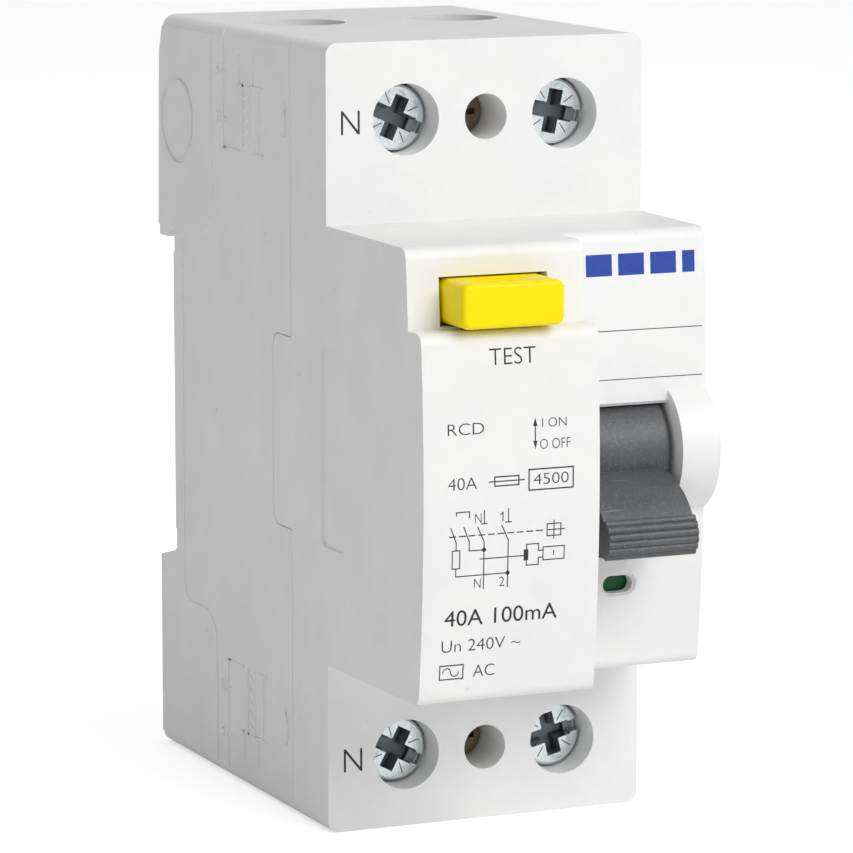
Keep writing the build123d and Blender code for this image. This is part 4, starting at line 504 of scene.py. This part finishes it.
class Marks:
    """Flat lines and letters drawn on a page, then laid on a wall of the casing.

    The page's x runs right and y runs up as the reader sees it, in millimetres.
    """

    def __init__(self):
        self.page = bmesh.new()

    def line(self, *points, width=0.16):
        for (x0, y0), (x1, y1) in zip(points, points[1:]):
            run = Vector((x1 - x0, y1 - y0))
            length = run.length + width
            cuts = max(1, int(length / MARK_STEP))
            made = bmesh.ops.create_grid(self.page, x_segments=cuts, y_segments=1, size=0.5)["verts"]
            place = (Matrix.Translation(((x0 + x1) / 2, (y0 + y1) / 2, 0))
                     @ Matrix.Rotation(run.angle_signed(Vector((1, 0))), 4, "Z")
                     @ Matrix.Diagonal((length, width, 1, 1)))
            bmesh.ops.transform(self.page, matrix=place, verts=made)

    def dashes(self, start, end, count, width=0.12):
        for step in range(count):
            a, b = step / count, (step + 0.6) / count
            self.line(*[(start[0] + t * (end[0] - start[0]), start[1] + t * (end[1] - start[1]))
                        for t in (a, b)], width=width)

    def box(self, x0, y0, x1, y1, width=0.14):
        self.line((x0, y0), (x1, y0), (x1, y1), (x0, y1), (x0, y0), width=width)

    def filled(self, x0, y0, x1, y1):
        cuts = max(1, int((x1 - x0) / MARK_STEP))
        made = bmesh.ops.create_grid(self.page, x_segments=cuts, y_segments=1, size=0.5)["verts"]
        place = (Matrix.Translation(((x0 + x1) / 2, (y0 + y1) / 2, 0))
                 @ Matrix.Diagonal((x1 - x0, y1 - y0, 1, 1)))
        bmesh.ops.transform(self.page, matrix=place, verts=made)

    def dot(self, x, y, radius=0.22):
        made = bmesh.ops.create_circle(self.page, cap_ends=True, segments=20, radius=radius)["verts"]
        bmesh.ops.translate(self.page, vec=(x, y, 0), verts=made)

    def arc(self, x, y, radius, start, end, width=0.16):
        self.line(*[(x + radius * cos(radians(start + (end - start) * k / 12)),
                     y + radius * sin(radians(start + (end - start) * k / 12))) for k in range(13)],
                  width=width)

    def wedge(self, x, y, turn, size=0.55):
        """A small arrow head pointing along turn."""
        c, s = cos(radians(turn)), sin(radians(turn))
        corners = [self.page.verts.new((x + size * (a * c - b * s), y + size * (a * s + b * c), 0))
                   for a, b in ((1, 0), (-1, 0.55), (-1, -0.55))]
        self.page.faces.new(corners)

    def text(self, words, x0, x1, y0, y1, thin=-0.012):
        """Words stretched to fill the box from x0 to x1 and from y0 to y1."""
        letters = bpy.data.curves.new("legend", "FONT")
        letters.body = words
        letters.resolution_u = 4
        letters.offset = thin
        holder = bpy.data.objects.new("legend", letters)
        bpy.context.scene.collection.objects.link(holder)
        bpy.context.view_layer.update()
        flat = bpy.data.meshes.new_from_object(holder)
        xs, ys = [v.co.x for v in flat.vertices], [v.co.y for v in flat.vertices]
        fit = (Matrix.Translation((x0, y0, 0))
               @ Matrix.Diagonal(((x1 - x0) / (max(xs) - min(xs)), (y1 - y0) / (max(ys) - min(ys)), 1, 1))
               @ Matrix.Translation((-min(xs), -min(ys), 0)))
        flat.transform(fit)
        self.page.from_mesh(flat)
        bpy.data.objects.remove(holder)
        bpy.data.curves.remove(letters)
        bpy.data.meshes.remove(flat)

    def lay(self, name, wall, origin, right, up, inward, proud_mm, sunk_mm, finish, slot, body="housing"):
        """Turn the page into a closed piece on the wall: sunk_mm into it and proud_mm out of it."""
        page = self.page
        bmesh.ops.remove_doubles(page, verts=page.verts, dist=1e-5)
        front = page.faces[:]
        for face in front:
            if face.normal.z < 0:
                face.normal_flip()
        thick = bmesh.ops.extrude_face_region(page, geom=front, use_keep_orig=True)["geom"]
        raised = {item for item in thick if isinstance(item, bmesh.types.BMVert)}
        origin, right, up, inward = Vector(origin), Vector(right), Vector(up), Vector(inward)
        for vert in page.verts:
            start = (origin + right * vert.co.x + up * vert.co.y) * MM
            spot = wall.ray_cast(start - inward * RAY_RUN_UP, inward)[0]
            depth = -proud_mm if vert in raised else sunk_mm
            vert.co = (spot or start) + inward * depth * MM
        bmesh.ops.recalc_face_normals(page, faces=page.faces)
        mesh = bpy.data.meshes.new(name)
        page.to_mesh(mesh)
        page.free()
        mesh.materials.append(finish)
        piece = bpy.data.objects.new(name, mesh)
        bpy.context.scene.collection.objects.link(piece)
        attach(piece, body)
        return piece


FRONT = dict(origin=(0, 0, 0), right=(1, 0, 0), up=(0, 0, 1), inward=(0, 1, 0))
LEFT = dict(origin=(0, 0, 0), right=(0, -1, 0), up=(0, 0, 1), inward=(1, 0, 0))
INK_PROUD, INK_SUNK = 0.012, 0.02


def print_on_front(marks, name, finish=INK):
    return marks.lay(name, COVER, proud_mm=INK_PROUD, sunk_mm=INK_SUNK, finish=finish,
                     slot="casing_white", **FRONT)


def legend_test():
    m = Marks()
    m.text("TEST", -10.5, -5.5, 11.15, 12.8)
    return m


def legend_switching():
    m = Marks()
    m.text("RCD", -15.1, -11.2, 4.5, 5.65)
    m.line((-5.7, 3.1), (-5.7, 5.3), width=0.12)
    m.wedge(-5.7, 5.35, 90, 0.42)
    m.wedge(-5.7, 3.05, -90, 0.42)
    m.text("I ON", -4.95, -2.3, 4.75, 5.65)
    m.text("O OFF", -5.2, -1.9, 2.6, 3.6)
    return m


def legend_symbols():
    m = Marks()
    m.text("40A", -15.1, -12.0, -0.9, 0.3)
    m.box(-10.1, -0.75, -7.5, 0.15, width=0.13)
    m.line((-10.7, -0.3), (-6.9, -0.3), width=0.12)
    m.box(-6.4, -1.4, -1.6, 0.65)
    m.text("4500", -5.9, -2.1, -0.9, 0.2)
    return m


def legend_diagram():
    """Two-pole circuit with its test branch and sensor, in standard symbols."""
    m = Marks()
    thin = 0.11
    for x in (-11.2, -8.6):
        m.line((x, -3.1), (x, -4.4), width=thin)
        m.line((x - 0.3, -4.4), (x + 0.3, -4.4), width=thin)
        m.line((x - 0.7, -4.7), (x, -6.2), (x, -10.9), width=thin)
    for x in (-14.2, -12.8):
        m.line((x - 0.6, -4.6), (x, -6.1), width=thin)
    m.line((-14.2, -6.1), (-14.2, -6.9), width=thin)
    m.line((-12.8, -6.1), (-12.8, -7.0), (-11.2, -7.0), width=thin)
    m.line((-14.2, -3.4), (-14.2, -3.1), (-12.8, -3.1), (-12.8, -3.7), width=thin)
    m.box(-14.6, -8.7, -13.8, -6.9, width=thin)
    m.line((-14.2, -8.7), (-14.2, -9.5), (-8.6, -9.5), width=thin)
    m.dot(-11.2, -7.0)
    m.dot(-8.6, -9.5)
    m.dashes((-14.9, -5.5), (-4.5, -5.5), 10)
    m.box(-4.4, -6.1, -2.9, -4.9, width=thin)
    m.line((-3.65, -6.4), (-3.65, -4.6), width=thin)
    m.line((-4.4, -5.5), (-2.5, -5.5), width=thin)
    m.line((-11.6, -7.9), (-6.9, -7.9), width=thin)
    m.filled(-6.9, -8.4, -6.4, -7.3)
    m.line((-6.6, -7.3), (-6.6, -6.8), (-5.3, -6.8), (-5.3, -7.5), (-4.8, -7.5), width=thin)
    m.line((-6.6, -8.4), (-6.6, -8.9), (-5.3, -8.9), (-5.3, -8.2), (-4.8, -8.2), width=thin)
    m.box(-4.8, -8.5, -2.5, -7.2, width=thin)
    m.line((-3.65, -8.05), (-3.65, -7.65), width=thin)
    m.text("N", -12.2, -11.5, -4.3, -3.35)
    m.line((-9.45, -3.62), (-9.2, -3.4), (-9.2, -4.25), width=thin)
    m.text("N", -12.2, -11.5, -10.8, -9.85)
    m.text("2", -9.5, -8.95, -10.8, -9.85)
    return m


def legend_ratings():
    m = Marks()
    m.text("40A 100mA", -15.3, -3.1, -14.5, -12.9, thin=0.0)
    m.text("Un 240V ~", -15.5, -7.0, -17.1, -15.9)
    m.box(-15.6, -19.85, -13.1, -18.45, width=0.12)
    m.arc(-14.85, -19.15, 0.42, 180, 0, width=0.1)
    m.arc(-14.0, -19.15, 0.42, 180, 360, width=0.1)
    m.text("AC", -12.0, -9.7, -19.8, -18.6)
    return m


def legend_terminals():
    m = Marks()
    m.text("N", -16.05, -14.0, 31.8, 34.2)
    m.text("N", -15.95, -13.9, -34.05, -31.65)
    return m


def label_rules():
    """Thin rules of the blank label field on the right nose."""
    m = Marks()
    for z in (12.45, 7.5):
        m.line((2.0, z), (17.2, z), width=0.09)
    return m


def label_bars():
    """A plain row of blocks in place of a name."""
    m = Marks()
    for x0, x1 in ((4.3, 7.2), (7.9, 10.8), (11.5, 14.4), (15.1, 16.5)):
        m.filled(x0, 18.0, x1, 20.2)
    return m


for piece_name, drawing, ink in (
        ("legend_test", legend_test, INK), ("legend_switching", legend_switching, INK),
        ("legend_symbols", legend_symbols, INK), ("legend_diagram", legend_diagram, INK),
        ("legend_ratings", legend_ratings, INK), ("legend_terminals", legend_terminals, INK),
        ("label_rules", label_rules, INK), ("label_bars", label_bars, BLUE_INK)):
    print_on_front(drawing(), piece_name, ink)


# The strip gauge is moulded in the side wall, once at each end. Page x is -Y, page y is Z.
GAUGES = {
    "strip_gauge_top": dict(end=41.1, way=1, ruler=14.9, middle=21.5, width=0.22),
    "strip_gauge_low": dict(end=-40.3, way=-1, ruler=15.3, middle=22.0, width=0.22),
}


def strip_gauge(end, way, ruler, middle, width):
    """Ruler from the case's end, a stripped wire, its length mark and a turning arrow."""
    m = Marks()

    def at(along, down):
        return (along, end - way * down)
    sleeve, strip = 6.0, 13.0
    m.line(at(ruler, 0.6), at(ruler, strip), width=width)
    for down in (4.9, 9.9, strip):
        m.line(at(ruler - 0.1, down), at(ruler + 0.8, down), width=width)
    m.line(at(ruler + 0.3, strip), at(ruler + 4.5, strip), width=width)
    m.line(at(middle - 2.1, 3.0), at(middle - 2.1, sleeve), width=width)
    m.line(at(middle + 1.8, 3.0), at(middle + 1.8, sleeve), width=width)
    m.line(at(middle - 1.0, sleeve), at(middle - 1.0, strip), width=width)
    m.line(at(middle + 1.0, sleeve), at(middle + 1.0, strip), width=width)
    for step in range(5):
        down = 6.6 + 1.3 * step
        m.line(at(middle - 0.9, down + 0.8), at(middle + 0.9, down), width=0.14)
    m.line(at(middle - 2.1, sleeve), at(middle - 1.0, sleeve), width=width)
    m.line(at(middle + 1.0, sleeve), at(middle + 4.4, sleeve), width=width)
    m.line(at(middle + 3.4, 6.5), at(middle + 3.4, 12.6), width=width)
    m.line(at(middle + 2.1, strip), at(middle + 4.5, strip), width=width)
    m.arc(29.4, end - way * 8.7, 3.1, -34, 34, width=width)
    m.wedge(31.9, end - way * 10.6, 235 if way > 0 else 125, 0.45)
    for words, down in (("5", 4.9), ("10", 9.9)):
        low = end - way * down - 0.7
        m.text(words, ruler - 1.9, ruler - 1.9 + 0.7 * len(words), low, low + 1.4, thin=0.0)
    return m


for name, place in GAUGES.items():
    strip_gauge(**place).lay(name, BASE, proud_mm=0.14, sunk_mm=0.05,
                             finish=FINISHES["casing_white"], slot="casing_white", **LEFT)


# --------------------------------------------------- light, floor, camera
FLOOR_Z = cad_low.z - 0.00005


def studio_floor():
    """A pale sweep: flat under the device and curved up far behind it."""
    half_width, front, bend_start, bend_radius, top, steps = 3.0, -3.0, 1.6, 0.9, 3.5, 12
    sweep = bmesh.new()
    edge = [sweep.verts.new((-half_width, y, 0.0)) for y in (front, bend_start)]
    for step in range(1, steps + 1):
        turn = radians(90 * step / steps)
        edge.append(sweep.verts.new((-half_width, bend_start + bend_radius * sin(turn),
                                     bend_radius * (1 - cos(turn)))))
    edge.append(sweep.verts.new((-half_width, bend_start + bend_radius, top)))
    runs = [sweep.edges.new(pair) for pair in zip(edge, edge[1:])]
    made = bmesh.ops.extrude_edge_only(sweep, edges=runs)["geom"]
    far_side = [item for item in made if isinstance(item, bmesh.types.BMVert)]
    bmesh.ops.translate(sweep, vec=(2 * half_width, 0, 0), verts=far_side)
    bmesh.ops.translate(sweep, vec=(0, 0, FLOOR_Z), verts=sweep.verts)
    bmesh.ops.recalc_face_normals(sweep, faces=sweep.faces)
    mesh = bpy.data.meshes.new("studio_floor")
    sweep.to_mesh(mesh)
    sweep.free()
    for face in mesh.polygons:
        face.use_smooth = True
    paper = Finish("studio_paper")
    place = paper.wiring.place()
    drift = paper.wiring.noise(place, 60.0, 2.0)
    # the paper glows for the camera only, so that it is white without lighting the device
    seen = paper.wiring.add("ShaderNodeLightPath").outputs["Is Camera Ray"]
    paper.set(Base_Color=paper.wiring.blend(drift, rgb(252, 252, 252), rgb(248, 248, 248)),
              Roughness=paper.wiring.remap(drift, 0, 1, 0.75, 0.85),
              Emission_Color=(1.0, 1.0, 1.0, 1.0),
              Emission_Strength=paper.wiring.maths("MULTIPLY", seen, 0.5))
    mesh.materials.append(paper.material)
    floor = bpy.data.objects.new("studio_floor", mesh)
    bpy.context.scene.collection.objects.link(floor)


def soft_light(name, place, target, size, watts, tint=(1, 1, 1)):
    light = bpy.data.lights.new(name, "AREA")
    light.shape, light.size, light.energy, light.color = "SQUARE", size, watts, tint
    lamp = bpy.data.objects.new(name, light)
    bpy.context.scene.collection.objects.link(lamp)
    lamp.location = place
    lamp.rotation_euler = (Vector(target) - Vector(place)).to_track_quat("-Z", "Y").to_euler()


studio_floor()
soft_light("key", (0.30, -0.75, 0.55), (0, -0.03, 0), 0.55, 5.0)
soft_light("fill", (-0.85, -0.35, 0.35), (0, -0.03, 0), 0.6, 0.05, (0.94, 0.93, 1.0))
soft_light("top", (0.0, 0.0, 0.9), (0, -0.02, 0), 0.6, 1.0)

world = bpy.data.worlds.new("studio")
world.use_nodes = True
world.node_tree.nodes["Background"].inputs["Color"].default_value = (1.0, 1.0, 1.0, 1.0)
world.node_tree.nodes["Background"].inputs["Strength"].default_value = 0.42
bpy.context.scene.world = world
bpy.context.scene.view_settings.view_transform = "Standard"

camera_data = bpy.data.cameras.new("camera")
camera_data.sensor_width, camera_data.lens = 36.0, 202.0
camera_data.clip_start, camera_data.clip_end = 0.01, 20.0
camera = bpy.data.objects.new("camera", camera_data)
bpy.context.scene.collection.objects.link(camera)
camera.location = (-0.2025, -0.4873, 0.0778)
camera.rotation_euler = (radians(90 - 8.94), radians(0.02), radians(-23.80))
bpy.context.scene.camera = camera
